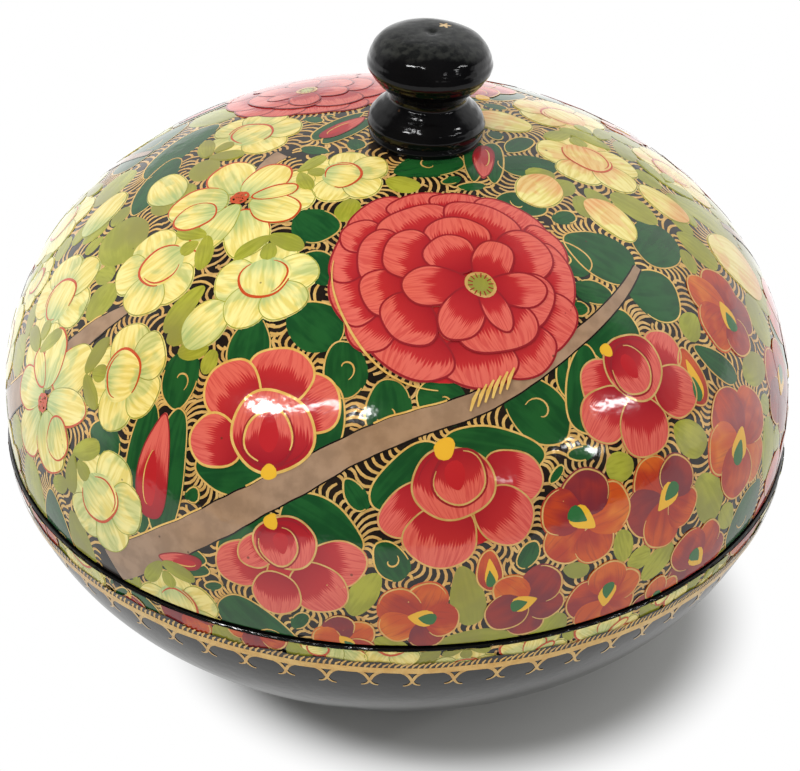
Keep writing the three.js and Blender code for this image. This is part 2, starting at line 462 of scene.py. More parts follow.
ground_tone = uneven(linear(24, 18, 14), linear(36, 27, 20), 300.0)
black_ground = lacquered("black_ground_lacquered", ground_tone)
bowl_ground = lacquered("bowl_black_lacquered", uneven(linear(20, 20, 21), linear(28, 27, 27), 60.0), 0.12)
black_lacquer = lacquered("black_lacquer_plain", uneven(linear(12, 12, 14), linear(18, 18, 20), 90.0), 0.11)
gold_paint = lacquered("gold_paint", gold_colour, metallic=0.15)
rose_paint = lacquered("rose_paint", rose_colour)
cream_paint = lacquered("narcissus_paint", cream_colour)
primrose_paint = lacquered("primrose_paint", primrose_colour)
leaf_paint = lacquered("leaf_paint", leaf_colour)
line_paint = lacquered("outline_paint", line_colour)
accent_paint = lacquered("bough_and_eye_paint", accent_colour)
print("materials:", len(bpy.data.materials))

# %% [markdown]
# ## Shells, collar, foot and knob
# Everything solid on this box was turned or moulded round an axis, so each piece is a
# profile carried round: a list of radii and heights, times a circle, worked out as arrays.

# %% Turning a profile
def new_object(name, data):
    """An object in the scene that shows this mesh, camera or lamp."""
    made = bpy.data.objects.new(name, data)
    bpy.context.scene.collection.objects.link(made)
    return made


def mesh_piece(name, points, faces, material, body, replaced=()):
    """A smooth mesh on a body, with its material."""
    mesh = bpy.data.meshes.new(name)
    mesh.from_pydata(points.tolist(), [], faces)
    mesh.shade_smooth()
    mesh.materials.append(material)
    piece = new_object(name, mesh)
    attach(piece, body)
    if replaced:
        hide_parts(*replaced)
    print(name, len(points), "points")
    return piece


def turned(radii, heights, steps, wobble=None):
    """Ring i has radius radii[i] at heights[i]. A radius of 0 at an end is a pole, and a
    profile without poles closes on itself. The profile runs down the outside.
    wobble(radius, height, angle) may return changed radii and heights as whole arrays."""
    radii, heights = np.asarray(radii, float), np.asarray(heights, float)
    open_profile = radii[0] == 0
    ring_radii = radii[1:-1] if open_profile else radii
    ring_heights = heights[1:-1] if open_profile else heights
    angle = np.linspace(0, 2 * np.pi, steps, endpoint=False)[None, :]
    r = np.repeat(ring_radii[:, None], steps, 1)
    z = np.repeat(ring_heights[:, None], steps, 1)
    if wobble:
        r, z = wobble(r, z, angle)
    rings = np.stack([r * np.cos(angle), r * np.sin(angle), z], -1).reshape(-1, 3)
    count = len(ring_radii)
    ring = np.arange(count - 1 if open_profile else count)[:, None]
    step = np.arange(steps)[None, :]
    below = (ring + 1) % count
    beside = (step + 1) % steps
    ring, below = ring * steps, below * steps
    quads = np.stack([ring + step, below + step, below + beside, ring + beside], -1)
    faces = quads.reshape(-1, 4).tolist()
    if not open_profile:
        return rings, faces
    first, last = len(rings), len(rings) + 1
    points = np.vstack([rings, [[0, 0, heights[0]], [0, 0, heights[-1]]]])
    step, beside = np.arange(steps), (np.arange(steps) + 1) % steps
    low = (count - 1) * steps
    faces += np.column_stack([np.full(steps, first), step, beside]).tolist()
    faces += np.column_stack([low + beside, low + step, np.full(steps, last)]).tolist()
    return points, faces


def arc(centre_r, centre_z, radius, start, stop, steps=6):
    """Points of a round edge, from one angle to another, in degrees from straight out."""
    turn = np.radians(np.linspace(start, stop, steps))
    return centre_r + radius * np.cos(turn), centre_z + radius * np.sin(turn)


def joined(*stretches):
    """Stretches of a profile, each a pair of radii and heights, put end to end."""
    return np.concatenate([s[0] for s in stretches]), np.concatenate([s[1] for s in stretches])


def skin_profile(skin, high, low, steps):
    """The ball's outline between two heights, with its points closer together near a pole."""
    pole_up = high >= skin.high - 1e-6
    pole_down = low <= skin.low + 1e-6 and skin is bowl_skin
    share = np.linspace(0, 1, steps)
    if pole_up:
        share = 1 - np.cos(share * np.pi / 2)
    elif pole_down:
        share = np.sin(share * np.pi / 2)
    z = high + (low - high) * share
    r = skin.radius_at(z)
    if pole_up:
        r[0] = 0
    if pole_down:
        r[-1] = 0
    return r, z


# %% The lid
LID_WALL = 3.2 * MM
RIM_ROUND = 0.15 * MM
MOUTH_BEVEL = 0.2 * MM
SHELL_STEPS = 224
lid_edge = lid_rim + RIM_ROUND
lid_edge_radius = lid_skin.level_radius(lid_edge)
lid_mouth = lid_skin.level_radius(bowl_high[2]) - LID_WALL
outer = skin_profile(lid_skin, lid_high[2], lid_edge, 90)
rounding = arc(lid_edge_radius - RIM_ROUND, lid_edge, RIM_ROUND, 0, -90, 6)
inner_top = lid_high[2] - LID_WALL
inner_skin = Skin(lid_skin.radius - LID_WALL, lid_skin.rise - LID_WALL, lid_skin.drop, 0, inner_top)
inner = skin_profile(inner_skin, inner_top, collar_high[2], 50)
mouth = np.array([
    (lid_mouth + MOUTH_BEVEL, lid_rim), (lid_mouth, lid_rim + MOUTH_BEVEL), (lid_mouth, collar_high[2]),
]).T
radii, heights = joined(outer, rounding, mouth, (inner[0][::-1], inner[1][::-1]))
points, faces = turned(radii, heights, SHELL_STEPS)
mesh_piece("lid_dome", points, faces, black_ground, "lid", ["lid_shell"])

# %% The bowl
BOWL_WALL = 3.6 * MM
GLUE = 0.3 * MM
seam = bowl_high[2]
collar_outer = collar_high[0]
rebate = collar_outer + GLUE
ledge = collar_low[2] - GLUE
rim_radius = bowl_skin.level_radius(seam)
outside = skin_profile(bowl_skin, seam - 0.55 * MM, bowl_low[2], 80)
chamfer = (np.array([rim_radius - 0.6 * MM]), np.array([seam]))
inner_drop = bowl_skin.drop - BOWL_WALL
inner_bowl = Skin(bowl_skin.radius - BOWL_WALL, bowl_skin.rise, inner_drop, bowl_low[2] + BOWL_WALL, 0)
share = np.sin(np.linspace(0, 1, 50) * np.pi / 2)
inside_z = ledge + (inner_bowl.low - ledge) * share
inside_r = inner_bowl.radius_at(inside_z)
inside_r[-1] = 0
mouth = (np.array([rebate, rebate]), np.array([ledge, seam]))
radii, heights = joined((inside_r[::-1], inside_z[::-1]), mouth, chamfer, outside)
points, faces = turned(radii, heights, SHELL_STEPS * 2)
mesh_piece("bowl_dome", points, faces, bowl_ground, "bowl", ["bowl_shell"])


# %% The bead of lacquer along the bowl's rim
def beaded(r, z, angle):
    """Sums of sines of the angle: the bead's face tips to and fro, and its lower edge
    wanders, as lacquer does that was drawn along a rim with a finger."""
    short = np.sin(angle * 131 + 0.4) * np.sin(angle * 11)
    short = short + 0.6 * np.sin(angle * 211 + 2) * np.sin(angle * 37)
    long = np.sin(angle * 23) + np.sin(angle * 41 + 1.3)
    outer = r > rim_radius - 0.13 * MM
    return r + 0.04 * MM * short * outer, z + 0.04 * long * MM * (z < seam - 0.19 * MM)


tip = np.radians(np.linspace(49, 43, 7))
face_r = rim_radius - 0.23 * MM + np.linspace(0, 0.25, 7) * MM * np.sin(tip) / math.sin(math.radians(46))
face_z = seam + 0.05 * MM - np.linspace(0, 0.25, 7) * MM * np.cos(tip) / math.cos(math.radians(46))
top = (rim_radius - np.array([0.9, 0.4]) * MM, seam + np.array([0.005, 0.05]) * MM)
under_z = seam - np.array([0.26, 0.4, 0.6]) * MM
under = (bowl_skin.radius_at(under_z) + np.array([0.02, -0.02, -0.05]) * MM, under_z)
inward = (rim_radius - np.array([0.5, 0.9]) * MM, seam - np.array([0.5, 0.1]) * MM)
radii, heights = joined(top, (face_r, face_z), under, inward)
points, faces = turned(radii, heights, 1440, beaded)
rim_lacquer = lacquered("rim_lacquer", uneven(linear(8, 8, 9), linear(14, 14, 14), 200.0), 0.1, brush=1.5)
mesh_piece("rim_bead", points, faces, rim_lacquer, "bowl")

# %% The collar and the foot
COLLAR_WALL = 2.0 * MM
LEAD = 0.8 * MM
collar_inner = collar_outer - COLLAR_WALL
collar_top, collar_foot = collar_high[2], collar_low[2]
collar_profile = np.array([
    (collar_inner, collar_top - 0.3 * MM), (collar_inner + 0.3 * MM, collar_top),
    (collar_outer - LEAD, collar_top), (collar_outer - 0.2 * MM, collar_top - 0.55 * MM),
    (collar_outer, collar_top - LEAD), (collar_outer, collar_foot), (collar_inner, collar_foot),
])
points, faces = turned(*collar_profile.T, SHELL_STEPS)
mesh_piece("collar_strip", points, faces, black_lacquer, "bowl", ["bowl_collar"])

FOOT_WALL = 5.5 * MM
FOOT_FLARE = 1.2 * MM
FOOT_ROUND, FOOT_INNER_ROUND = 1.0 * MM, 0.6 * MM
foot_outer = foot_high[0]
foot_inner = foot_outer - FOOT_WALL


def belly(radius):
    """The ball's formula solved for the height of the bowl's underside at a radius."""
    return WIDEST - bowl_skin.drop * (1 - (radius / bowl_skin.radius) ** BELLY_SHOULDER) ** (1 / BELLY_BOTTOM)


top_r = np.linspace(foot_inner, foot_outer - FOOT_FLARE, 8)
top = (top_r, belly(top_r) - 0.1 * MM)
round_foot = arc(foot_outer - FOOT_ROUND, FOOT_ROUND, FOOT_ROUND, 0, -90, 8)
round_inside = arc(foot_inner + FOOT_INNER_ROUND, FOOT_INNER_ROUND, FOOT_INNER_ROUND, 270, 180, 5)
radii, heights = joined(top, round_foot, round_inside)
points, faces = turned(radii, heights, SHELL_STEPS)
mesh_piece("foot_turned", points, faces, black_lacquer, "bowl", ["foot_ring"])

# %% [markdown]
# The knob is one piece of turned wood: a flared base, a waist, and a mushroom head with a
# sharp turned edge under its widest level. It was glued in by hand, so it stands a little
# off the crown's middle and leans the same way.

# %% The knob
KNOB_OFFSET = 3.9 * MM
KNOB_LEAN = math.radians(2.0)
KNOB_TOP = 18.7
# Radius and height over the crown, in millimetres, down the outside to the peg's end
knob_profile = [
    (0, KNOB_TOP - 0.35), (0.5, KNOB_TOP - 0.32), (1.0, KNOB_TOP - 0.1), (2.2, KNOB_TOP),
    (4.0, KNOB_TOP - 0.08), (6.0, KNOB_TOP - 0.36), (7.8, KNOB_TOP - 1.0), (9.1, KNOB_TOP - 2.0),
    (9.85, KNOB_TOP - 3.3),
    (10.25, KNOB_TOP - 4.5), (10.5, 13.35), (10.55, 12.95), (10.45, 12.6), (10.2, 12.1), (9.85, 11.6),
    (9.3, 10.7), (8.5, 9.8), (7.6, 9.0), (6.95, 8.3), (6.65, 7.75), (6.6, 7.3),
    (6.75, 6.8), (7.2, 6.3), (7.9, 5.6), (8.7, 4.9), (9.35, 4.1), (9.75, 3.2), (9.9, 2.4), (9.75, 1.75),
    (9.4, 1.35), (9.3, 1.2), (9.45, 1.02), (9.62, 0.75), (9.62, 0.4), (9.5, 0.0), (9.4, -1.2), (3.0, -2.2),
    (3.0, -4.0), (0, -4.0),
]


def rounded_profile(corners):
    """Corner cutting: each span keeps points at a quarter and three quarters of its length,
    which after two rounds draws a smooth curve. The two ends stay."""
    line = np.array(corners, float)
    for _ in range(2):
        a, b = line[:-1], line[1:]
        cut = np.stack([a * 0.75 + b * 0.25, a * 0.25 + b * 0.75], 1).reshape(-1, line.shape[1])
        line = np.vstack([line[:1], cut[1:-1], line[-1:]])
    return line


def hand_turned(r, z, angle):
    """Slow waves round the knob and faint rings up it, as a hand-held gouge leaves."""
    wave = 0.09 * MM * np.sin(2 * angle + z / MM * 0.5) + 0.05 * MM * np.sin(5 * angle + z / MM)
    rings = 0.03 * MM * np.sin(z / MM * 5.2)
    return r + (wave + rings) * np.clip(r / (6 * MM), 0, 1), z


line = rounded_profile(knob_profile) * MM
points, faces = turned(line[:, 0], line[:, 1], 120, hand_turned)
knob_place = Matrix.Translation((KNOB_OFFSET, 0, lid_high[2])) @ Matrix.Rotation(KNOB_LEAN, 4, "Y")
knob_turn = np.array(knob_place)
points = points @ knob_turn[:3, :3].T + knob_turn[:3, 3]


# %% The knob's lacquer: worn rougher by fingers on top, with a painted reflection of the ceiling that makes the top greyer, and a chip that shows the wood
HEAD_TOP = np.array([4.5 * MM, 0.0, lid_high[2] + KNOB_TOP * MM])
CHIP = HEAD_TOP + np.array([2.2, 3.0, -0.1]) * MM


def worn_top_and_painted_sheen(tree):
    """The top of the knob, as the height above a plane that slopes down to the back, with an edge broken by
    noise. The lacquer there is rougher from wear and greyer from a painted reflection.
    """
    place = split(tree, own_place(tree))
    above = minus(tree, place["Z"], float(HEAD_TOP[2]) - 4.3 * MM)
    above = plus(tree, above, times(tree, place["Y"], 0.31))
    above = plus(tree, above, times(tree, blotches(tree, 260.0, 4.0), 3.0 * MM))
    return smooth(tree, above, 1.4 * MM, 2.6 * MM)


def knob_colour(tree):
    """Black, greyer on top where a painted reflection of the ceiling lies, and pale wood inside a small
    five-pointed chip: the distance from the chip's middle is held against a radius that goes as cos(5 *
    angle)."""
    black = uneven(linear(7, 7, 9), linear(13, 13, 15), 120.0)(tree)
    scuffs = smooth(tree, blotches(tree, 900.0, 4.0), 0.40, 0.66)
    # Painted reflection: the knob's top is made greyer as if it mirrored a bright ceiling; the scuffs only
    # vary that tone.
    painted_sheen_grey = blend_colour(tree, scuffs, linear(22, 24, 25), linear(46, 48, 47))
    colour = blend_colour(tree, worn_top_and_painted_sheen(tree), black, painted_sheen_grey)
    away = node(tree, "ShaderNodeVectorMath", operation="SUBTRACT")
    feed(tree, away.inputs[0], own_place(tree))
    away.inputs[1].default_value = CHIP.tolist()
    flat = split(tree, away.outputs[0])
    length = node(tree, "ShaderNodeVectorMath", operation="LENGTH")
    feed(tree, length.inputs[0], away.outputs[0])
    angle = calc(tree, "ARCTAN2", flat["Y"], flat["X"])
    points = times(tree, calc(tree, "COSINE", times(tree, angle, 5.0)), 0.32 * MM)
    edge = minus(tree, plus(tree, points, 0.8 * MM), length.outputs["Value"])
    chip = smooth(tree, edge, -0.05 * MM, 0.1 * MM)
    wood = blend_colour(tree, scuffs, linear(196, 166, 122), linear(224, 200, 156))
    return blend_colour(tree, chip, colour, wood)


def knob_roughness(tree):
    """As smooth as the rest of the lacquer, and rougher on top where fingers wore it."""
    return plus(tree, times(tree, worn_top_and_painted_sheen(tree), 0.15), 0.09)


knob_lacquer = lacquered("knob_lacquer", knob_colour, knob_roughness, waves=0.8, brush=2.2, shine=0.22)
mesh_piece("knob_turned", points, faces, knob_lacquer, "lid", ["knob"])

# %% [markdown]
# ## Brushes
# A mark is drawn in millimetres on a flat patch that touches the ball at its spot, and then
# carried along rays from the ball's middle onto the skin. Coats lie 0.012 mm over each
# other, in the order that the painter laid them. An image would be the other way to paint
# a box, but it goes soft when it is looked at closely.

# %% Spots on the skin
COAT = 0.012 * MM
dice = np.random.default_rng(7)


def direction(around, down):
    """Degrees round from the front and degrees down from the crown, as unit vectors."""
    a, d = np.broadcast_arrays(np.radians(around), np.radians(down))
    return np.stack([np.sin(d) * np.sin(a), -np.sin(d) * np.cos(a), np.cos(d)], -1)


class Spot:
    """A place on a skin, with its own right and up in the plane that touches it there."""

    def __init__(self, skin, toward, right):
        self.skin = skin
        self.point = skin.meet(toward[None, :])[0][0]
        self.toward = self.point - MIDDLE
        out = self.toward / np.linalg.norm(self.toward)
        side = right - out * (right @ out)
        self.right = side / np.linalg.norm(side)
        self.up = np.cross(out, self.right)

    def rays(self, flat):
        """Ways from the ball's middle to points of the flat patch, given in millimetres."""
        return self.toward + MM * (flat[..., :1] * self.right + flat[..., 1:] * self.up)

    def flat(self, points):
        """Where points of space lie over the flat patch, in millimetres."""
        away = points - self.point
        return (away @ self.right) / MM, (away @ self.up) / MM

    def moved(self, x, y, turn=0.0):
        """The spot x and y millimetres away, with its axes turned counterclockwise."""
        t = math.radians(turn)
        toward = self.rays(np.array([[x, y]], float))[0]
        return Spot(self.skin, toward, math.cos(t) * self.right + math.sin(t) * self.up)


def spot_at(skin, around, down, turn=0.0):
    """The spot at a direction given in degrees, level with the floor before it is turned."""
    level = np.array([math.cos(math.radians(around)), math.sin(math.radians(around)), 0.0])
    return Spot(skin, direction(around, down), level).moved(0, 0, turn)


# %% Pots of paint
class Pot:
    """Marks of one paint, kept as arrays until they are put on the skin as one mesh."""

    def __init__(self):
        self.rays, self.coats, self.uvs, self.tints, self.lows, self.faces = [], [], [], [], [], []
        self.count = 0

    def add(self, rays, faces, uv, coats, tint, low):
        count = len(rays)
        self.rays.append(rays)
        self.uvs.append(uv)
        for kept, value in ((self.coats, coats), (self.tints, tint), (self.lows, low)):
            kept.append(np.broadcast_to(np.asarray(value, float), count))
        self.faces.append(faces + self.count)
        self.count += count


class Canvas:
    """One half of the ball, with its pots of paint and the shapes painted so far. Marks are
    cut off below low and above high."""

    def __init__(self, skin, low, high):
        self.skin, self.low, self.high = skin, low, high
        self.pots = {}
        self.blobs = []

    def add(self, paint, rays, faces, uv, coats, tint=0.0):
        self.pots.setdefault(paint, Pot()).add(rays, faces, uv, coats, tint, self.low)

    def dry(self, paint, name, material, body, slot):
        """Puts a pot's marks on the skin. A point beyond the edge is pulled back to it."""
        pot = self.pots[paint]
        points, normals = self.skin.meet(np.vstack(pot.rays))
        low = np.concatenate(pot.lows)
        beyond = (points[:, 2] < low) | (points[:, 2] > self.high)
        level = np.clip(points[:, 2], low, self.high)
        shrink = self.skin.radius_at(level) / np.maximum(np.hypot(points[:, 0], points[:, 1]), 1e-9)
        pulled = np.column_stack([points[:, :2] * shrink[:, None], level])
        lift = COAT * np.concatenate(pot.coats)
        points = np.where(beyond[:, None], pulled, points) + normals * lift[:, None]
        faces = np.vstack(pot.faces)
        faces = faces[~beyond[faces].all(1)]
        used = np.unique(faces)
        number = np.zeros(len(points), int)
        number[used] = np.arange(len(used))
        faces = number[faces]
        piece = mesh_piece(name, points[used], faces.tolist(), material, body)
        uv = np.vstack(pot.uvs)[used]
        piece.data.uv_layers.new(name="UVMap").data.foreach_set("uv", uv[faces.ravel()].ravel())
        tints = np.concatenate(pot.tints)[used]
        piece.data.attributes.new("tint", "FLOAT", "POINT").data.foreach_set("value", tints)
        piece.data.normals_split_custom_set_from_vertices(normals[used].tolist())
        print(name, "has", len(faces) * 2, "triangles")


# %% A rounded shape: nearly every petal and leaf is one
class Blob:
    """Half its width and half its length in millimetres, narrowed towards +Y by egg, with a
    rim that the hand has waved a little."""

    def __init__(self, spot, wide, tall, egg=0.0, family=""):
        self.spot, self.wide, self.tall, self.egg, self.family = spot, wide, tall, egg, family
        self.reach = max(wide, tall)
        self.phase = dice.uniform(0, 6.28)

    def press(self, x, y):
        """The unit disc spread over the shape. Its radius is scaled by 1 plus a small sum of
        sines of the angle, which grows with the square of the distance from the middle."""
        turn = np.arctan2(y, x)
        wave = np.sin(2 * turn + self.phase) + 0.7 * np.sin(3 * turn + 2.3 * self.phase)
        wave = wave + 0.4 * np.sin(5 * turn + 3.1 * self.phase)
        wave = 1 + 0.04 * (x * x + y * y) * wave
        return np.stack([x * (1 - self.egg * y) * self.wide * wave, y * self.tall * wave], -1)

    def away(self, points):
        """Millimetres from points to the rim, less than 0 inside: with n the ellipse's norm,
        (n - 1) divided by the slope of n."""
        x, y = self.spot.flat(points)
        n = np.maximum(np.hypot(x / self.wide, y / self.tall), 1e-6)
        slope = np.hypot(x / self.wide**2, y / self.tall**2) / n
        return (n - 1) / np.maximum(slope, 1e-3)


DAB_STEP, SKIRT = 1.05, 0.22  # millimetres between a dab's rows, and its skirt's width
LINE_STEP = 0.7  # millimetres between the points of an outline


def grid_faces(across, along):
    """The four corners of every cell of a grid of points, numbered row by row."""
    i = np.arange(across - 1)[:, None] * along
    j = np.arange(along - 1)[None, :]
    return np.stack([i + j, i + j + along, i + j + along + 1, i + j + 1], -1).reshape(-1, 4)


def dab(canvas, paint, blob, coats, tint=0.0):
    """Fills a blob. A square grid s, t becomes round as (s * sqrt(1 - t*t/2),
    t * sqrt(1 - s*s/2)), so it has no pole. The map runs from 0 at the root to 1 at the tip.
    A sloping skirt joins its rim to the ground, as a thick coat of paint flows out."""
    steps = int(np.clip(2 * blob.reach / DAB_STEP, 4, 20)) + 1
    side = np.linspace(-1, 1, steps)
    s, t = np.meshgrid(side, side, indexing="ij")
    flat = blob.press(s * np.sqrt(1 - t * t / 2), t * np.sqrt(1 - s * s / 2)).reshape(-1, 2)
    uv = np.stack([(s + 1) / 2, (t + 1) / 2], -1).reshape(-1, 2)
    i, last = np.arange(steps - 1), steps - 1
    rim = np.concatenate([i * steps, last * steps + i, (last - i) * steps + last, last - i])
    low = steps * steps + np.arange(len(rim))
    skirt = np.stack([rim, low, np.roll(low, -1), np.roll(rim, -1)], -1)
    outwards = flat[rim] / np.linalg.norm(flat[rim], axis=1, keepdims=True)
    flat = np.vstack([flat, flat[rim] + outwards * SKIRT])
    heights = np.concatenate([np.full(steps * steps, float(coats)), np.full(len(rim), 1.0)])
    faces = np.vstack([grid_faces(steps, steps), skirt])
    canvas.add(paint, blob.spot.rays(flat), faces, np.vstack([uv, uv[rim]]), heights, tint)


def strokes(canvas, paint, spot, lines, width, coats, taper=0.0, tint=0.0):
    """Brush lines, each a row of points: every point is moved half a width to either side.
    taper thins both ends by the sine of the share of the way along."""
    lines = lines if lines.ndim == 3 else lines[None]
    run = np.gradient(lines, axis=1)
    run = run / np.maximum(np.linalg.norm(run, axis=2, keepdims=True), 1e-9)
    away = np.stack([-run[..., 1], run[..., 0]], -1)
    count, steps = lines.shape[:2]
    share = np.linspace(0, 1, steps)
    half = (width / 2 * (1 - taper + taper * np.sin(share * np.pi)))[None, :, None]
    flat = np.stack([lines + away * half, lines - away * half], 2).reshape(-1, 2)
    uv = np.stack([np.repeat(share, 2), np.tile([0.0, 1.0], steps)], -1)
    step = np.arange(steps - 1)[None, :, None] * 2
    faces = np.arange(count)[:, None, None] * steps * 2 + step + np.array([0, 1, 3, 2])
    canvas.add(paint, spot.rays(flat), faces.reshape(-1, 4), np.tile(uv, (count, 1)), coats, tint)


def outline(canvas, paint, blob, width, coats, start=-4.0, stop=364.0, taper=0.0, tint=0.0, grow=1.0):
    """A line along a blob's rim, from one angle to another. 57 degrees are about a radian."""
    steps = int(np.clip(blob.reach * abs(stop - start) / 57 / LINE_STEP, 7, 64))
    turn = np.radians(np.linspace(start, stop, steps))
    line = blob.press(np.cos(turn), np.sin(turn)) * grow
    strokes(canvas, paint, blob.spot, line, width, coats, taper, tint)


# %% [markdown]
# ## Flowers
# Each kind of flower is a list of petals, written as the painter thinks of them: where the
# petal lies from the flower's middle, how wide and how long it is, in shares of the
# flower's size, and the way that it points in degrees. Later petals lie over earlier ones.

# %% One petal
LEAF, TWIG, FLOWER = 5, 8, 10
CRIMSON_LINE, ORANGE_LINE = 0.0, 1.0


def petal(canvas, spot, size, where, paint, coats, tint=None, egg=-0.1, family=""):
    """Paints a petal and returns its blob. A blob with a family is kept as an obstacle."""
    x, y, across, along, pointing = where[:5]
    own = spot.moved(x * size, y * size, pointing - 90)
    blob = Blob(own, across * size, along * size, egg, family)
    dab(canvas, paint, blob, coats, dice.uniform() if tint is None else tint)
    if family:
        canvas.blobs.append(blob)
    return blob


# %% Roses
GREAT_ROSE = [
    (-0.58, 0.66, 0.34, 0.24, 130), (-0.20, 0.86, 0.30, 0.18, 102), (0.16, 0.87, 0.28, 0.17, 80),
    (0.58, 0.68, 0.36, 0.20, 48), (0.85, 0.36, 0.24, 0.18, 22), (0.86, 0.02, 0.34, 0.19, 0),
    (0.74, -0.43, 0.31, 0.24, 330), (0.56, -0.72, 0.28, 0.20, 308), (0.16, -0.82, 0.35, 0.22, 278),
    (-0.36, -0.73, 0.38, 0.24, 243), (-0.66, -0.52, 0.24, 0.22, 222), (-0.80, -0.22, 0.30, 0.22, 198),
    (-0.83, 0.22, 0.30, 0.19, 168), (-0.76, 0.44, 0.20, 0.18, 150),
    (-0.27, 0.56, 0.36, 0.24, 122), (0.30, 0.62, 0.34, 0.24, 62), (0.63, 0.24, 0.28, 0.24, 14),
    (-0.58, 0.20, 0.28, 0.22, 170), (-0.54, -0.20, 0.24, 0.22, 200), (-0.36, -0.46, 0.26, 0.22, 225),
    (0.60, -0.24, 0.28, 0.22, 340), (0.08, 0.42, 0.30, 0.22, 95), (-0.34, 0.20, 0.26, 0.24, 160),
    (0.32, -0.50, 0.36, 0.24, 290), (0.00, 0.20, 0.22, 0.22, 118), (-0.14, -0.14, 0.19, 0.30, 186),
    (0.06, -0.40, 0.18, 0.28, 236), (0.34, 0.12, 0.18, 0.25, 68), (0.52, -0.15, 0.17, 0.26, 8),
    (0.32, -0.34, 0.12, 0.22, 290),
]
ROSE_HEART = (0.22, -0.11)


def great_rose(canvas, spot, size, squat=1.0):
    """A full rose seen from above: rings of broad petals round an open heart. squat is how
    tall it is for its width."""
    disc = Blob(spot, size * 0.965, size * 0.965 * squat, 0, "rose")
    canvas.blobs.append(disc)
    dab(canvas, "accent", disc, FLOWER - 1, DEEP)
    for i, (x, y, across, along, pointing) in enumerate(GREAT_ROSE):
        coats = FLOWER + 0.9 * i
        thin = (1 + squat) / 2
        blob = petal(canvas, spot, size, (x, y * squat, across * thin, along * thin, pointing), "rose", coats)
        outline(canvas, "red", blob, 0.34, coats + 0.5, taper=0.1)
    heart = Blob(spot.moved(ROSE_HEART[0] * size, ROSE_HEART[1] * size, -20), size * 0.125, size * 0.1)
    top = FLOWER + 0.9 * len(GREAT_ROSE)
    dab(canvas, "green", heart, top, 0.95)
    outline(canvas, "gold", heart, 0.5, top + 1, tint=0.2)
    for angle in np.linspace(0, 2 * np.pi, 15)[:-1]:
        across = np.array([[0.52, 0.0], [0.86, 0.0]]) * heart.wide
        turn = np.array([[np.cos(angle), np.sin(angle)], [-np.sin(angle), np.cos(angle)]])
        strokes(canvas, "red", heart.spot, across @ turn, 0.2, top + 1.4, 0, CRIMSON_LINE)
    outline(canvas, "gold", disc, 0.42, top + 2, 172, 262, 0.6, 0.8, 1.075)


ROSES = {
    "rose_1": dict(
        leaves=[(0.60, -0.25, 0.52, 0.78, 60), (-0.10, -0.66, 0.44, 0.88, 190)],
        petals=[(0.66, 0.12, 0.42, 0.42, 30), (0.20, 0.50, 0.46, 0.40, 80), (-0.46, 0.24, 0.42, 0.46, 140),
                (-0.64, -0.42, 0.36, 0.40, 172)],
        cups=[(0.16, -0.25, 0.60, 0.55, 90), (0.12, -0.33, 0.36, 0.35, 90)],
        drop=(0.12, -0.27, 0.13, 0.26, 90), calyx=(0.15, -0.78, 0.11, 0.10, 90), gilt=(0.38, 0.95)),
    "rose_2": dict(
        leaves=[(-0.74, 0.34, 0.26, 0.56, 50), (0.42, 0.66, 0.32, 0.66, -10)],
        petals=[(0.66, 0.36, 0.33, 0.40, -20), (-0.70, -0.08, 0.28, 0.40, 235),
                (0.54, -0.12, 0.38, 0.40, -40), (-0.24, -0.40, 0.47, 0.42, 262)],
        cups=[(-0.12, 0.26, 0.52, 0.46, 285), (-0.04, 0.33, 0.33, 0.33, 285)],
        drop=(-0.10, 0.36, 0.13, 0.18, 285), calyx=(-0.24, 0.70, 0.12, 0.14, 60)),
    "rose_3": dict(
        leaves=[(-0.45, 0.58, 0.46, 0.80, 40), (-0.92, 0.0, 0.32, 0.62, 80)],
        petals=[(0.56, 0.56, 0.32, 0.34, 60), (-0.62, 0.08, 0.35, 0.38, 190), (0.64, 0.0, 0.40, 0.40, -15),
                (-0.62, -0.34, 0.37, 0.44, 235), (0.0, -0.50, 0.45, 0.42, 275)],
        cups=[(-0.04, 0.34, 0.52, 0.46, 300), (-0.10, 0.28, 0.34, 0.34, 300)],
        drop=(-0.12, 0.33, 0.12, 0.18, 300), calyx=(-0.46, 0.58, 0.09, 0.09, 60)),
    "rose_4": dict(
        leaves=[(-0.60, 0.42, 0.30, 0.56, 55), (0.52, 0.62, 0.36, 0.66, -30)],
        petals=[(-0.66, 0.0, 0.34, 0.42, 200), (0.72, 0.08, 0.36, 0.40, -10), (0.42, -0.30, 0.40, 0.42, -50),
                (-0.18, -0.42, 0.37, 0.34, 262), (-0.40, 0.24, 0.24, 0.34, 215)],
        cups=[(0.0, 0.36, 0.46, 0.38, 275), (-0.10, 0.31, 0.29, 0.28, 280)],
        drop=(-0.06, 0.36, 0.10, 0.16, 280), calyx=(-0.20, 0.66, 0.10, 0.10, 60)),
}


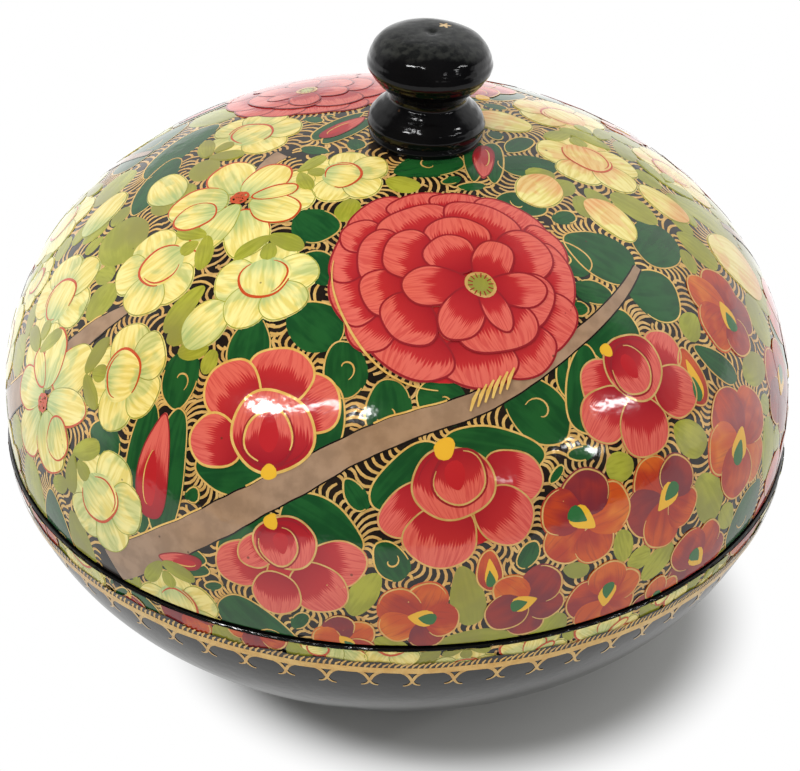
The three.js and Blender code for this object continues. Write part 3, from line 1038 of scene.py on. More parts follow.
def rose(canvas, spot, size, leaves, petals, cups, drop, calyx, gilt=(0.26, 0.25)):
    """A rose from the side: leaves behind, petals fanned round two nested cups, with a deep
    drop in the inner one, and a yellow calyx where the stem joins. gilt is the width and the
    tint of its gold lines."""
    width, tint = gilt
    petal(canvas, spot, size, (0, 0.0, 0.62, 0.50, 90), "accent", FLOWER - 1, DEEP, 0.0)
    for i, where in enumerate(leaves):
        blob = petal(canvas, spot, size, where, "green", LEAF + 1.2 * i, dice.uniform(0, 0.4), 0.1, "rose")
        outline(canvas, "gold", blob, 0.32, LEAF + 1.2 * i + 0.6, taper=0.2, tint=0.7)
    for i, where in enumerate(petals):
        coats = FLOWER + 1.1 * i
        blob = petal(canvas, spot, size, where, "rose", coats, family="rose")
        outline(canvas, "gold", blob, width, coats + 0.5, tint=tint)
    coats = FLOWER + 1.1 * len(petals)
    outer = petal(canvas, spot, size, cups[0], "rose", coats, egg=0.05)
    outline(canvas, "gold", outer, width + 0.06, coats + 0.5, tint=tint)
    outline(canvas, "red", outer, 0.30, coats + 0.6, 200, 340, 0.8, CRIMSON_LINE, 0.86)
    inner = petal(canvas, spot, size, cups[1], "rose", coats + 1.1, egg=0.05)
    outline(canvas, "red", inner, 0.42, coats + 1.6, tint=CRIMSON_LINE, grow=1.06)
    outline(canvas, "gold", inner, width + 0.04, coats + 1.7, -30, 250, 0.5, tint)
    petal(canvas, spot, size, drop, "accent", coats + 2.4, DEEP, 0.3)
    petal(canvas, spot, size, calyx, "accent", coats + 3.4, YELLOW, 0.3)


# %% Narcissus
OPEN_NARCISSUS = [
    (0.56, 0.70, 0.24, 0.26, 50, None), (0.78, 0.30, 0.24, 0.28, 10, None),
    (-0.46, 0.52, 0.34, 0.44, 135, (40, 200)), (0.10, 0.58, 0.31, 0.42, 82, (-30, 210)),
    (0.40, -0.50, 0.34, 0.46, -55, (170, 300)), (-0.10, -0.48, 0.27, 0.46, 262, (-60, 120)),
    (0.55, 0.04, 0.28, 0.42, -5, (-60, 200)), (0.40, 0.36, 0.15, 0.32, 35, (-4, 364)),
    (-0.62, -0.10, 0.37, 0.44, 190, (-20, 120)), (-0.54, -0.32, 0.27, 0.31, 200, (-4, 364)),
]
CUP_NARCISSUS = [
    (0.0, 0.48, 0.60, 0.38, 90), (-0.58, 0.10, 0.46, 0.44, 168), (0.58, 0.06, 0.46, 0.44, 12),
    (-0.34, -0.52, 0.46, 0.42, 242), (0.38, -0.50, 0.48, 0.42, 300),
]
SEPALS = [(-0.34, 0.86, 0.17, 0.38, 35), (0.36, 0.90, 0.18, 0.40, 150), (0.02, 0.68, 0.16, 0.20, 90)]


def shade(warm):
    """The tint of a narcissus petal: below a half is shaded green, above it apricot."""
    return 0.5 * warm + dice.uniform(0, 0.49)


def open_narcissus(canvas, spot, size, warm=0):
    """Ten soft petals, some folded over, round a scribbled heart."""
    for i, where in enumerate(OPEN_NARCISSUS):
        coats = FLOWER + 0.9 * i
        blob = petal(canvas, spot, size, where, "cream", coats, shade(warm), family="cream")
        outline(canvas, "green", blob, 0.14, coats + 0.4, tint=0.95)
        if where[5]:
            outline(canvas, "red", blob, 0.38, coats + 0.6, *where[5], taper=0.6, tint=ORANGE_LINE)
    turn = np.linspace(0, 2 * np.pi * 5, 90)
    swing = size * 0.13 * (0.55 + 0.45 * np.sin(turn * 1.37))
    scribble = np.stack([swing * np.cos(turn) - 0.07 * size, swing * np.sin(turn) + 0.12 * size], -1)
    strokes(canvas, "red", spot, scribble, 0.34, FLOWER + 10, 0.0, ORANGE_LINE)


def cup_narcissus(canvas, spot, size, warm=0):
    """Five petals behind a round cup, with lime sepals over its top."""
    for i, where in enumerate(CUP_NARCISSUS):
        wobbled = (where[0], where[1], where[2], where[3] * dice.uniform(0.9, 1.08), where[4])
        blob = petal(canvas, spot, size, wobbled, "cream", FLOWER + i, shade(warm), family="cream")
        outline(canvas, "green", blob, 0.14, FLOWER + i + 0.4, tint=0.95)
    cup = petal(canvas, spot, size, (0, 0.06, 0.50, 0.46, 270), "cream", FLOWER + 6, shade(warm), 0.0)
    begin = dice.uniform(-90, 60)
    outline(canvas, "red", cup, 0.48, FLOWER + 6.6, begin, begin + 215, 0.6, ORANGE_LINE)
    outline(canvas, "red", cup, 0.36, FLOWER + 6.8, begin + 160, begin + 300, 0.7, ORANGE_LINE, 0.86)
    for i, where in enumerate(SEPALS):
        petal(canvas, spot, size, where, "green", FLOWER + 7.8 + 1.1 * i, dice.uniform(0.6, 1), 0.2, "cream")


# %% Buds and primroses
def cream_bud(canvas, spot, size, warm=0):
    """An egg of folded petals on lime sepals."""
    for x in (-0.42, 0.4):
        sepal = (x, -0.75, 0.36, 0.5, 250 - 30 * x)
        petal(canvas, spot, size, sepal, "green", FLOWER, dice.uniform(0.6, 1), 0.1, "cream")
    egg = (0, 0.05, 0.72, 0.95, 90)
    blob = petal(canvas, spot, size, egg, "cream", FLOWER + 2, shade(warm), 0.1, "cream")
    outline(canvas, "green", blob, 0.14, FLOWER + 2.5, tint=0.95)


def rose_bud(canvas, spot, size):
    """A slim red bud between two dark sepals with gold edges."""
    for i, x in enumerate((-0.27, 0.27)):
        coats = LEAF + 1.2 * i
        sepal = (x, -0.04, 0.36, 1.18, 90 - 10 * x)
        blob = petal(canvas, spot, size, sepal, "green", coats, 0.2, 0.2, "rose")
        outline(canvas, "gold", blob, 0.28, coats + 0.6, taper=0.3, tint=0.6)
    blob = petal(canvas, spot, size, (0, 0, 0.31, 0.95, 90), "rose", FLOWER, egg=0.3, family="rose")
    outline(canvas, "red", blob, 0.22, FLOWER + 0.5, tint=CRIMSON_LINE)
    core = petal(canvas, spot, size, (-0.04, -0.2, 0.13, 0.5, 92), "accent", FLOWER + 1.2, DEEP, 0.2)
    outline(canvas, "gold", core, 0.22, FLOWER + 2.2, 90, 260, 0.6, 0.8)


def primrose(canvas, spot, size):
    """Five round petals in orange, red and maroon with gold rims, and an eye of yellow over
    green off the middle."""
    begin = dice.uniform(0, 360)
    for i in range(5):
        pointing = begin + 72 * i + dice.uniform(-9, 9)
        turn, wide = math.radians(pointing), dice.uniform(0.42, 0.52)
        where = (0.52 * math.cos(turn), 0.52 * math.sin(turn), wide, wide * dice.uniform(0.9, 1.08), pointing)
        blob = petal(canvas, spot, size, where, "primrose", FLOWER + 1.1 * i, egg=-0.05, family="primrose")
        arc_from, arc_long = dice.uniform(-40, 40), dice.uniform(150, 300)
        outline(canvas, "gold", blob, 0.30, FLOWER + 1.1 * i + 0.5, arc_from, arc_from + arc_long, 0.6, 0.3,
                dice.uniform(0.95, 1.03))
    pointing = begin + 100
    for share, half, coats, tint in ((0.06, 0.20, 6.8, YELLOW), (0.20, 0.14, 7.8, EYE_GREEN)):
        turn = math.radians(pointing + 180)
        where = (share * math.cos(turn), share * math.sin(turn), half, half * 1.5, pointing)
        petal(canvas, spot, size, where, "accent", FLOWER + coats, tint, 0.55)


def flame_bud(canvas, spot, size):
    """A primrose bud: an orange egg with a yellow flame over a green foot."""
    blob = petal(canvas, spot, size, (0, 0, 0.62, 1, 90), "primrose", FLOWER, 0.3, 0.2, "primrose")
    outline(canvas, "gold", blob, 0.26, FLOWER + 0.5, tint=0.4)
    petal(canvas, spot, size, (0.05, -0.1, 0.26, 0.72, 90), "accent", FLOWER + 1.5, YELLOW, 0.6)
    petal(canvas, spot, size, (0, -0.42, 0.2, 0.42, 90), "accent", FLOWER + 2.5, EYE_GREEN, 0.6)


# %% Leaves
def leaf(canvas, spot, wide, tall, lime):
    """A dark leaf has a gold rim and a gold curl. A lime leaf is bare."""
    tint = dice.uniform(0.6, 1.0) if lime else dice.uniform(0, 0.4)
    blob = Blob(spot, wide, tall, dice.uniform(-0.15, 0.2), "lime" if lime else "leaf")
    coats = LEAF + (2.4 if lime else 0)
    dab(canvas, "green", blob, coats, tint)
    canvas.blobs.append(blob)
    if lime:
        return
    arc_from, arc_long = dice.uniform(0, 360), dice.uniform(170, 368)
    tint = dice.uniform(0.3, 0.9)
    outline(canvas, "gold", blob, 0.30, coats + 0.6, arc_from, arc_from + arc_long, 0.4, tint)
    if wide > 2.4 and dice.uniform() < 0.55:
        long = dice.uniform(0.7, 1.5) * np.pi
        turn = np.linspace(0, long, 14) * dice.choice([-1, 1]) + dice.uniform(0, 6.28)
        curl = np.stack([np.cos(turn), np.sin(turn)], -1) * (wide * np.linspace(0.58, 0.16, 14))[:, None]
        strokes(canvas, "gold", spot, curl, 0.30, coats + 0.6, 0.6, dice.uniform(0.4, 0.9))


# %% [markdown]
# ## Where the painter put them
# The large flowers were placed first, each by eye, and are listed: degrees round
# from the front, degrees down from the crown, size in millimetres from the middle to the
# tips, and the turn of the drawing in degrees.

# %% The large flowers and the dark leaves between them
KINDS = {
    "great_rose": great_rose,
    "front_great_rose": lambda canvas, spot, size: great_rose(canvas, spot, size, 0.91),
    "open_narcissus": open_narcissus,
    "open_apricot": lambda canvas, spot, size: open_narcissus(canvas, spot, size, 1),
    "cup_narcissus": cup_narcissus,
    "cup_apricot": lambda canvas, spot, size: cup_narcissus(canvas, spot, size, 1),
    "cream_bud": cream_bud,
    "apricot_bud": lambda canvas, spot, size: cream_bud(canvas, spot, size, 1),
    "rose_bud": rose_bud,
    "primrose": primrose,
    "flame_bud": flame_bud,
}
for kind in ROSES:
    KINDS[kind] = lambda canvas, spot, size, layout=ROSES[kind]: rose(canvas, spot, size, **layout)

FLOWERS_BY_HAND = [
    ("front_great_rose", 13, 41.6, 19.4, -8), ("great_rose", -148, 33, 15.5, 60),
    ("rose_1", -20.7, 65.1, 11.3, 10), ("rose_2", 9.2, 75.3, 12.2, -5),
    ("rose_3", 40.6, 66, 11.0, -20), ("rose_4", -13.9, 84.8, 11.2, 6),
    ("open_narcissus", -55.2, 36.2, 11.4, 27), ("open_narcissus", -60, 77.3, 11.8, 115),
    ("cup_narcissus", -55.2, 52.3, 8.2, -13), ("cup_narcissus", -30.7, 46.3, 8.2, 28),
    ("cup_narcissus", -71.2, 66.5, 8.4, 205), ("cup_narcissus", -46.2, 67.4, 8.2, 112),
    ("cup_narcissus", -43.3, 84.6, 8.8, 62), ("cup_narcissus", -99, 29.5, 8.2, 225),
    ("cup_narcissus", -34, 19.5, 7.0, 110), ("cup_narcissus", -29.7, 95.7, 7.5, 20),
    ("cup_narcissus", -84, 82, 8.0, 120), ("cup_narcissus", -95, 66, 8.4, 60),
    ("cream_bud", -37, 56.1, 4.9, -22), ("cream_bud", -84.3, 56, 5.2, 40),
    ("cream_bud", -78.3, 44.5, 5.0, 99),
    ("cup_apricot", 90, 35.7, 8.8, -75), ("apricot_bud", 58.8, 30.5, 5.2, 90),
    ("apricot_bud", 65.2, 42.5, 5.2, 168), ("apricot_bud", 84.3, 49.8, 5.0, -12),
    ("cup_apricot", 122, 37, 8.5, 100), ("cup_apricot", 104, 54, 8.0, 60),
    ("primrose", 26.3, 80, 8.4, 0), ("primrose", 39.4, 81.2, 8.2, 0), ("primrose", 56.9, 80, 9.8, 0),
    ("primrose", 68, 65, 8.4, 0), ("primrose", 17.7, 90, 6.8, 0), ("primrose", 29.4, 92.6, 7.2, 0),
    ("primrose", 3.4, 91, 7.0, 0), ("primrose", -6.1, 95.4, 5.2, 0), ("primrose", 46, 93.4, 7.6, 0),
    ("primrose", 75, 81, 8.4, 0), ("primrose", 38.3, 97, 5.4, 0), ("flame_bud", 12.6, 84.5, 3.4, 5),
    ("flame_bud", 51.5, 68, 4.6, -10), ("rose_bud", -35.2, 76.6, 9.2, 6), ("rose_bud", -103, 12, 5.2, 60),
    ("rose_bud", 59.3, 18.5, 5.4, 120), ("rose_bud", -29.2, 88, 4.4, 100),
]
LEAVES_BY_HAND = [
    (-27.8, 33.5, 3.4, 4.3, 70), (-26.8, 56.7, 3.6, 4.4, 10), (-36.1, 64.5, 3.3, 4.4, 15),
    (-16.2, 51.5, 4.0, 4.8, 60), (-1.2, 62.9, 3.7, 4.9, 5), (22.5, 64.7, 4.4, 6.0, 40),
    (51.6, 46, 5.0, 6.0, 20), (55.3, 55.7, 4.6, 5.2, 60), (67.1, 50.6, 4.6, 5.4, 80),
    (23.8, 13.6, 3.6, 6.0, 90), (-9.0, 57.4, 3.3, 4.5, 10), (7.2, 61.6, 3.6, 3.9, 70),
    (-84, 46.5, 3.0, 8.0, 60), (31.5, 61, 4.4, 4.8, 10), (-45, 76.5, 2.8, 3.8, 80),
    (-99.5, 43.5, 3.9, 8.6, 58), (-109, 52, 4.4, 8.8, 60), (43, 43.5, 3.2, 4.4, 30),
    (46, 31, 3.0, 4.4, 60), (-20, 41.5, 2.6, 3.6, 60), (71, 26, 3.4, 5.2, 40),
]
lid_canvas = Canvas(lid_skin, lid_edge + 0.02 * MM, lid_high[2])
knob_down = math.degrees(math.atan2(KNOB_OFFSET, lid_high[2] - WIDEST))
lid_canvas.blobs.append(Blob(spot_at(lid_skin, 90, knob_down), 9.7, 9.7, 0, "knob"))
for kind, around, down, size, turn in FLOWERS_BY_HAND:
    KINDS[kind](lid_canvas, spot_at(lid_skin, around, down, turn), size)
for around, down, wide, tall, turn in LEAVES_BY_HAND:
    leaf(lid_canvas, spot_at(lid_skin, around, down, turn), wide, tall, False)
print("shapes placed by hand:", len(lid_canvas.blobs))


# %% The boughs
def bough(canvas, route, widths):
    """A brown band along spots given as degrees round and degrees down, thick to thin, over
    a slightly wider black one. It is kept clear by a row of discs."""
    soft = rounded_profile(np.column_stack([route, widths]))
    share = np.linspace(0, len(soft) - 1, 16 * len(route))
    around, down, width = (np.interp(share, range(len(soft)), soft[:, k]) for k in range(3))
    width = width * (1 + 0.03 * np.sin(share * 1.9) + 0.02 * np.sin(share * 5.3))
    line, normals = canvas.skin.meet(direction(around, down))
    run = np.gradient(line, axis=0)
    side = np.cross(normals, run)
    side = side / np.linalg.norm(side, axis=1, keepdims=True)
    across = np.linspace(-1, 1, 8)
    uv = np.stack(np.meshgrid(share, (across + 1) / 2, indexing="ij"), -1).reshape(-1, 2)
    for extra, coats, tint in ((0.5, TWIG, BLACK), (0.0, TWIG + 1, BROWN)):
        half = (width + extra) / 2 * MM
        rays = line[:, None] + (side * half[:, None])[:, None] * across[None, :, None] - MIDDLE
        canvas.add("accent", rays.reshape(-1, 3), grid_faces(len(line), 8), uv, coats, tint)
    edge = line + side * (width / 2 + 0.1)[:, None] * MM - MIDDLE
    for first in range(3, len(line) - 14, 26):
        part = edge[first:first + 15]
        gilt = np.stack([part, part + side[first:first + 15] * 0.3 * MM], 1).reshape(-1, 3)
        uv = np.tile([[0.0, 0.0], [0.0, 1.0]], (15, 1))
        canvas.add("gold", gilt, np.arange(14)[:, None] * 2 + np.array([0, 2, 3, 1]), uv, TWIG + 2, 0.8)
    for i in range(0, len(line), 5):
        spot = Spot(canvas.skin, line[i] - MIDDLE, run[i])
        canvas.blobs.append(Blob(spot, max(width[i] * 0.7, 1.5), width[i] / 2 + 0.25, 0, "bough"))


BOUGHS = [
    ([(-41, 94), (-26.5, 82.5), (-17, 75), (-2.4, 65.6), (14.9, 62), (29.5, 57), (57, 51)],
     (6.0, 5.6, 5.0, 4.2, 3.4, 2.8, 1.2)),
    ([(-76, 88), (-66, 78), (-61, 72.4), (-57.6, 65), (-53.5, 59)], (5.0, 4.8, 4.6, 3.6, 1.6)),
    ([(-74, 24), (-70, 27.5), (-62, 31)], (3.0, 2.4, 1.6)),
    ([(140, 92), (155, 78), (172, 66), (188, 60), (200, 54)], (6.0, 5.2, 4.4, 3.4, 1.6)),
    ([(112, 95), (104, 82), (99, 70), (94, 62)], (4.6, 4.0, 3.0, 1.4)),
    ([(-128, 92), (-118, 78), (-112, 62), (-104, 50)], (4.6, 4.2, 3.0, 1.4)),
]
for route, widths in BOUGHS:
    bough(lid_canvas, route, widths)
print("boughs:", len(BOUGHS), "shapes so far:", len(lid_canvas.blobs))

# %% Six thick gold strokes where the front bough passes under the great rose
beard_spot = spot_at(lid_skin, 14.9, 61.2)
foot = np.array([[-3.4 + 1.25 * i, -2.3 + 0.5 * i] for i in range(6)])
lean = np.array([[0.0, 0.0], [0.8, 1.6], [2.0, 3.2]])
strokes(lid_canvas, "gold", beard_spot, foot[:, None] + lean, 0.62, FLOWER + 38, 0.5, 1.0)

# %% [markdown]
# ## Filling the rest
# The painter went on with smaller and smaller marks until hardly any black was left. The
# same is done here by looking for the middle of the largest empty place again and again:
# round the back it takes a flower, and elsewhere a leaf that is turned the way in which it
# has the most room.

# %% The largest empty place
FILL_POINTS = 15000
GOLDEN_TURN = 137.50776
NEAR_ENOUGH = 13.0  # millimetres: a shape farther off than this leaves a point's room as it is


def spread(skin, lowest_down, count):
    """Points spread evenly over the crown, as seeds in a flower head: each a golden turn
    further round and an equal share of height lower."""
    i = np.arange(count)
    down = np.degrees(np.arccos(1 - (1 - math.cos(math.radians(lowest_down))) * (i + 0.5) / count))
    return skin.meet(direction(i * GOLDEN_TURN, down))[0]


def near(blobs, point, reach):
    """The blobs that may come within reach of a point, in millimetres."""
    return [b for b in blobs if np.linalg.norm(b.spot.point - point) < (b.reach + reach) * MM]


def narrow(room, points, blob):
    """Lowers the room of the points near a new blob to their distance from it."""
    close = np.linalg.norm(points - blob.spot.point, axis=1) < (blob.reach + NEAR_ENOUGH) * MM
    room[close] = np.minimum(room[close], blob.away(points[close]))


def open_room(canvas, points):
    """Millimetres from each point to the nearest shape on the canvas."""
    room = np.full(len(points), 30.0)
    for blob in canvas.blobs:
        narrow(room, points, blob)
    return room


def longest_way(spot, half, gap, blobs):
    """The turn in which a leaf of this half width has the most room, and its half length."""
    turns, lengths = np.meshgrid(np.radians(np.arange(0, 180, 20)), half * np.array([1.2, 1.5, 1.9, 2.3]))
    way = np.stack([np.cos(turns), np.sin(turns)], -1) * (lengths - half * 0.4)[..., None]
    tips = spot.skin.meet(spot.rays(np.stack([way, -way]).reshape(-1, 2)))[0]
    room = np.full(len(tips), 20.0)
    for blob in near(blobs, spot.point, 3 * half + 4):
        room = np.minimum(room, blob.away(tips))
    fits = (room.reshape(2, *turns.shape) > gap + half * 0.4).all(0)
    if not fits.any():
        return 0.0, half * 1.1
    best = np.argmax(np.where(fits, lengths + dice.uniform(0, 0.2, lengths.shape), 0))
    return math.degrees(turns.flat[best]) - 90, float(lengths.flat[best])


def fill(canvas, points, least, most, choose):
    """Takes the roomiest point again and again until none has the least room. choose says
    what goes there: a flower's kind, or a leaf's gap and whether it is lime."""
    room = open_room(canvas, points)
    luck = dice.uniform(0.8, 1.0, len(points))
    made = 0
    while True:
        i = int(np.argmax(room * luck))
        if room[i] < least:
            return made
        spot = Spot(canvas.skin, points[i] - MIDDLE, np.array([1.0, 0.3, 0.0]))
        kind, gap, lime = choose(canvas, spot, room[i])
        before = len(canvas.blobs)
        if kind:
            KINDS[kind](canvas, spot.moved(0, 0, dice.uniform(0, 360)), min(room[i] - gap, most) * 1.04)
        elif gap is not None:
            half = min(room[i] - gap, most)
            turn, tall = longest_way(spot, half, gap, canvas.blobs)
            leaf(canvas, spot.moved(0, 0, turn), half, tall, lime)
        for blob in canvas.blobs[before:]:
            narrow(room, points, blob)
        room[i] = 0
        made += 1


def bearing(spot):
    """Degrees round and degrees down of a spot."""
    x, y, z = spot.toward
    return math.degrees(math.atan2(x, -y)), math.degrees(math.acos(z / np.linalg.norm(spot.toward)))


def back_flower(canvas, spot, room):
    """Round the back: roses low down, narcissus on the left shoulder, apricot on the right."""
    around, down = bearing(spot)
    if abs(around) < 72 or (abs(around) < 100 and down < 25):
        return None, None, None
    if down > 62 or abs(around) > 140:
        options = ("rose_1", "rose_2", "rose_3", "rose_4", "primrose", "open_narcissus")
    else:
        options = ("open_narcissus", "cup_narcissus") if around < 0 else ("open_apricot", "primrose")
    return options[int(dice.integers(len(options)))], 0.3, None


def back_small(canvas, spot, room):
    """Round the back: small flowers and buds, with more primroses low down and behind."""
    around, down = bearing(spot)
    if abs(around) < 72:
        return None, None, None
    side = ("cup_narcissus", "cream_bud") if around < 0 else ("cup_apricot", "apricot_bud", "primrose")
    options = side + (("primrose", "rose_bud") if down > 60 or abs(around) > 125 else ())
    return options[int(dice.integers(len(options)))], 0.2, None


def leaf_choice(canvas, spot, room):
    """Dark leaves go with roses, lime ones with narcissus and primroses."""
    close = near(canvas.blobs, spot.point, 6.0)
    score = {"rose": 0.0, "cream": 0.0, "primrose": 0.0}
    for blob in close:
        if blob.family in score:
            score[blob.family] += 1 / (1 + max(0.0, float(blob.away(spot.point[None])[0])))
    lime_share = 0.92 if score["cream"] + score["primrose"] > score["rose"] else 0.05
    if room < 2.3:
        lime_share = 1.0 if lime_share > 0.5 else 0.0
    lime = dice.uniform() < lime_share
    gap = dice.uniform(0.0, 0.5) if lime else dice.uniform(0.8, 1.2)
    return None, gap, lime


lid_points = spread(lid_skin, 97.5, FILL_POINTS)
counts = [
    fill(lid_canvas, lid_points, 8.4, 11.6, back_flower),
    fill(lid_canvas, lid_points, 4.4, 7.6, back_small),
    fill(lid_canvas, lid_points, 1.6, 4.6, leaf_choice),
]
print("flowers, small flowers and leaves filled in:", counts, "shapes in all:", len(lid_canvas.blobs))

# %% [markdown]
# ## Gold comb strokes
# Every gap that is left is crossed by a row of short gold strokes, bowed like the twists of
# a rope. Each starts at a rim, square to it, and runs until it meets the next shape or the
# strokes of a larger one. They lie under all the other paint.

# %% Combing the gaps
PITCH, COMB_WIDTH, TOOTH, OPEN_TOOTH = 1.0, 0.5, 4.8, 2.6
CELL = 1.0 * MM
STROKE_SHARE = np.linspace(0, 1, 6)


def cells_of(points):
    """The cells of a grid of cubes that points lie in, as three rows of whole numbers."""
    return tuple(np.floor(points / CELL + [90, 90, 0]).astype(int).T)


def comb_lines(start, way, aside, length, bow):
    """Rows of points from each start along its way, pushed aside by bow times a sine."""
    far = (-0.35 + (length[:, None] + 0.55) * STROKE_SHARE)[..., None]
    bend = (bow[:, None] * np.sin(np.pi * STROKE_SHARE))[..., None]
    return start[:, None] + way[:, None] * far + aside[:, None] * bend


def comb(canvas):
    """For each blob, largest first: points along its rim, the way straight out from each,
    and how far it runs before it is inside another blob or in a cell that holds strokes."""
    taken = np.zeros((180, 180, 180), bool)
    out = np.arange(0.25, TOOTH, 0.3)
    made = 0
    for blob in sorted(canvas.blobs, key=lambda b: -b.wide * b.tall):
        if blob.family == "knob":
            continue
        around = np.pi * (blob.wide + blob.tall + 1.8)
        count = max(7, int(around / PITCH))
        turn = np.arange(count) * 2 * np.pi / count + blob.phase
        rim = blob.press(np.cos(turn), np.sin(turn))
        run = np.roll(rim, -1, 0) - np.roll(rim, 1, 0)
        run = run / np.linalg.norm(run, axis=1, keepdims=True)
        square = np.stack([run[:, 1], -run[:, 0]], -1)
        flat = rim[:, None] + square[:, None] * out[None, :, None]
        points = canvas.skin.meet(blob.spot.rays(flat.reshape(-1, 2)))[0]
        cells = cells_of(points)
        blocked = taken[cells]
        for other in near(canvas.blobs, blob.spot.point, blob.reach + TOOTH):
            if other is not blob:
                blocked |= other.away(points) < 0
        blocked = blocked.reshape(count, -1)
        ends = blocked.any(1)
        first = np.where(ends, blocked.argmax(1), len(out))
        length = np.where(ends, out[np.minimum(first, len(out) - 1)], OPEN_TOOTH)
        kept = (first > 0) & (length > 0.9)
        if not kept.any():
            continue
        drawn = ((out[None, :] <= length[:, None]) & kept[:, None]).ravel()
        taken[tuple(axis[drawn] for axis in cells)] = True
        length = length[kept]
        lines = comb_lines(rim[kept], square[kept], run[kept], length, np.minimum(0.2 + 0.22 * length, 0.75))
        strokes(canvas, "gold", blob.spot, lines, COMB_WIDTH, 2, 0.25, dice.uniform(0.0, 0.5))
        made += int(kept.sum())
    return made, taken


def comb_holes(canvas, taken, points):
    """Where black still shows, a short stroke is laid the way of the nearest shape's strokes."""
    points = points[open_room(canvas, points) > 0.55]
    made = 0
    for point in points:
        x, y, z = (int(axis[0]) for axis in cells_of(point[None]))
        if taken[x - 1:x + 2, y, z].any() or taken[x, y - 1:y + 2, z].any() or taken[x, y, z - 1:z + 2].any():
            continue
        taken[x, y, z] = True
        close = near(canvas.blobs, point, 6.0)
        nearest = min(close, key=lambda b: float(b.away(point[None])[0]))
        spot = Spot(canvas.skin, point - MIDDLE, point - nearest.spot.point)
        length = np.array([2.0, 1.7])
        lines = comb_lines(np.array([[-0.8, 0.45], [-0.6, -0.5]]), np.tile([1.0, 0.0], (2, 1)),
                           np.tile([0.0, 1.0], (2, 1)), length, np.array([0.45, 0.4]))
        strokes(canvas, "gold", spot, lines, COMB_WIDTH, 2.6, 0.4, dice.uniform(0.1, 0.9))
        made += 2
    return made


comb_count, taken_cells = comb(lid_canvas)
hole_count = comb_holes(lid_canvas, taken_cells, lid_points)
print("comb strokes:", comb_count, "in holes:", hole_count)

# %% All the pots go onto the lid
PAINTS = {
    "gold": gold_paint, "green": leaf_paint, "rose": rose_paint, "cream": cream_paint,
    "primrose": primrose_paint, "red": line_paint, "accent": accent_paint,
}


def dry_all(canvas, names, body, slot):
    """Each paint becomes one piece. The names stand in the order of the paints."""
    for (paint, material), name in zip(PAINTS.items(), names):
        canvas.dry(paint, name, material, body, slot)


LID_NAMES = (
    "gold_strokes", "leaves", "rose_petals", "narcissus_petals", "primrose_petals", "red_outlines",
    "boughs_and_eyes",
)
dry_all(lid_canvas, LID_NAMES, "lid", "painted_lid")

# %% [markdown]
# ## The bowl's border
# Under the seam the bowl repeats the lid's flowers in a band that is only 3.7 mm high, so
# they are cut off above by the rim and below by a gold line. Under the line hangs a row of
# gold arches, whose ends cross in small curled tails.

# %% The band of flowers
BAND, LINE_WIDE, ARCHES, FRINGE = 3.7, 1.35, 62, 460
band_top = seam - 0.28 * MM
border = Canvas(bowl_skin, band_top - BAND * MM, band_top)


def border_spot(around, below):
    """A spot on the bowl, so many millimetres below the top of the band."""
    height = band_top - below * MM
    radius = bowl_skin.level_radius(height)
    return spot_at(bowl_skin, around, math.degrees(math.atan2(radius, height - WIDEST)))


BORDER_KINDS = ("cup_narcissus", "primrose", "cup_narcissus", "rose_4", "primrose", "open_narcissus")
around = 0.0
while around < 358:
    kind = BORDER_KINDS[int(dice.integers(len(BORDER_KINDS)))]
    size = dice.uniform(4.5, 6.5)
    KINDS[kind](border, border_spot(around, dice.choice([-1.5, 4.5])), size)
    around += (size * 1.5 + dice.uniform(2.0, 5.0)) * 0.83
border_points = np.vstack([
    bowl_skin.meet(direction(np.arange(0, 360, 0.8), border_down))[0]
    for border_down in [bearing(border_spot(0, below))[1] for below in (0.6, 1.7, 2.8)]
])
print("border leaves:", fill(border, border_points, 0.9, 2.4, leaf_choice))
print("border strokes:", comb(border)[0])

# %% The gold line and the arches
border.low = bowl_low[2]


def border_line(paint, below, width, coats, tint, wander=0.0):
    """A line all the way round, as two rings of points on the skin. Its upper edge wanders."""
    angle = np.arange(0, 361, 1.5)
    ways = []
    for edge in (below - width / 2, below + width / 2):
        wave = edge + 0.06 * np.sin(np.radians(angle) * 23) + 0.05 * np.sin(np.radians(angle) * 41 + edge)
        if edge < below:
            wave = wave + wander * np.sin(np.radians(angle) * 17 + 1) * np.sin(np.radians(angle) * 31)
        height = band_top - wave * MM
        down = np.degrees(np.arctan2(bowl_skin.radius_at(height), height - WIDEST))
        ways.append(direction(angle, down))
    rays = np.stack([ways[0], ways[1]], 1).reshape(-1, 3)
    steps = np.arange(len(angle) - 1)[:, None] * 2
    uv = np.stack([np.repeat(angle / 360, 2), np.tile([0.0, 1.0], len(angle))], -1)
    border.add(paint, rays, steps + np.array([1, 3, 2, 0]), uv, coats, tint)


border_line("accent", BAND - 0.55, 1.3, FLOWER + 18, BLACK, 0.55)
border_line("gold", BAND + LINE_WIDE / 2, LINE_WIDE, FLOWER + 20, 0.6)
for i in range(FRINGE // 4):
    spot = border_spot(1440 / FRINGE * i, BAND)
    slant = dice.uniform(0.5, 1.1)
    tops = dice.uniform(1.0, 1.5, 4)
    starts = (np.arange(4) - 1.5) * 2 * math.pi * bowl_skin.radius / MM / FRINGE
    rows = [[(x, -0.2), (x + slant * 0.3, top * 0.5), (x + slant, top)] for x, top in zip(starts, tops)]
    strokes(border, "gold", spot, np.array(rows), 0.42, FLOWER + 19, 0.5, dice.uniform(0.1, 0.8))
arch_half = math.pi * bowl_skin.radius / MM / ARCHES * 0.965
ARCH_DROP = 3.7
ARCH = [
    (0.0, 0.0), (0.36, -0.04), (0.64, -0.17), (0.84, -0.38), (0.95, -0.64), (1.02, -0.86), (1.12, -1.04),
    (1.26, -1.16), (1.42, -1.18),
]
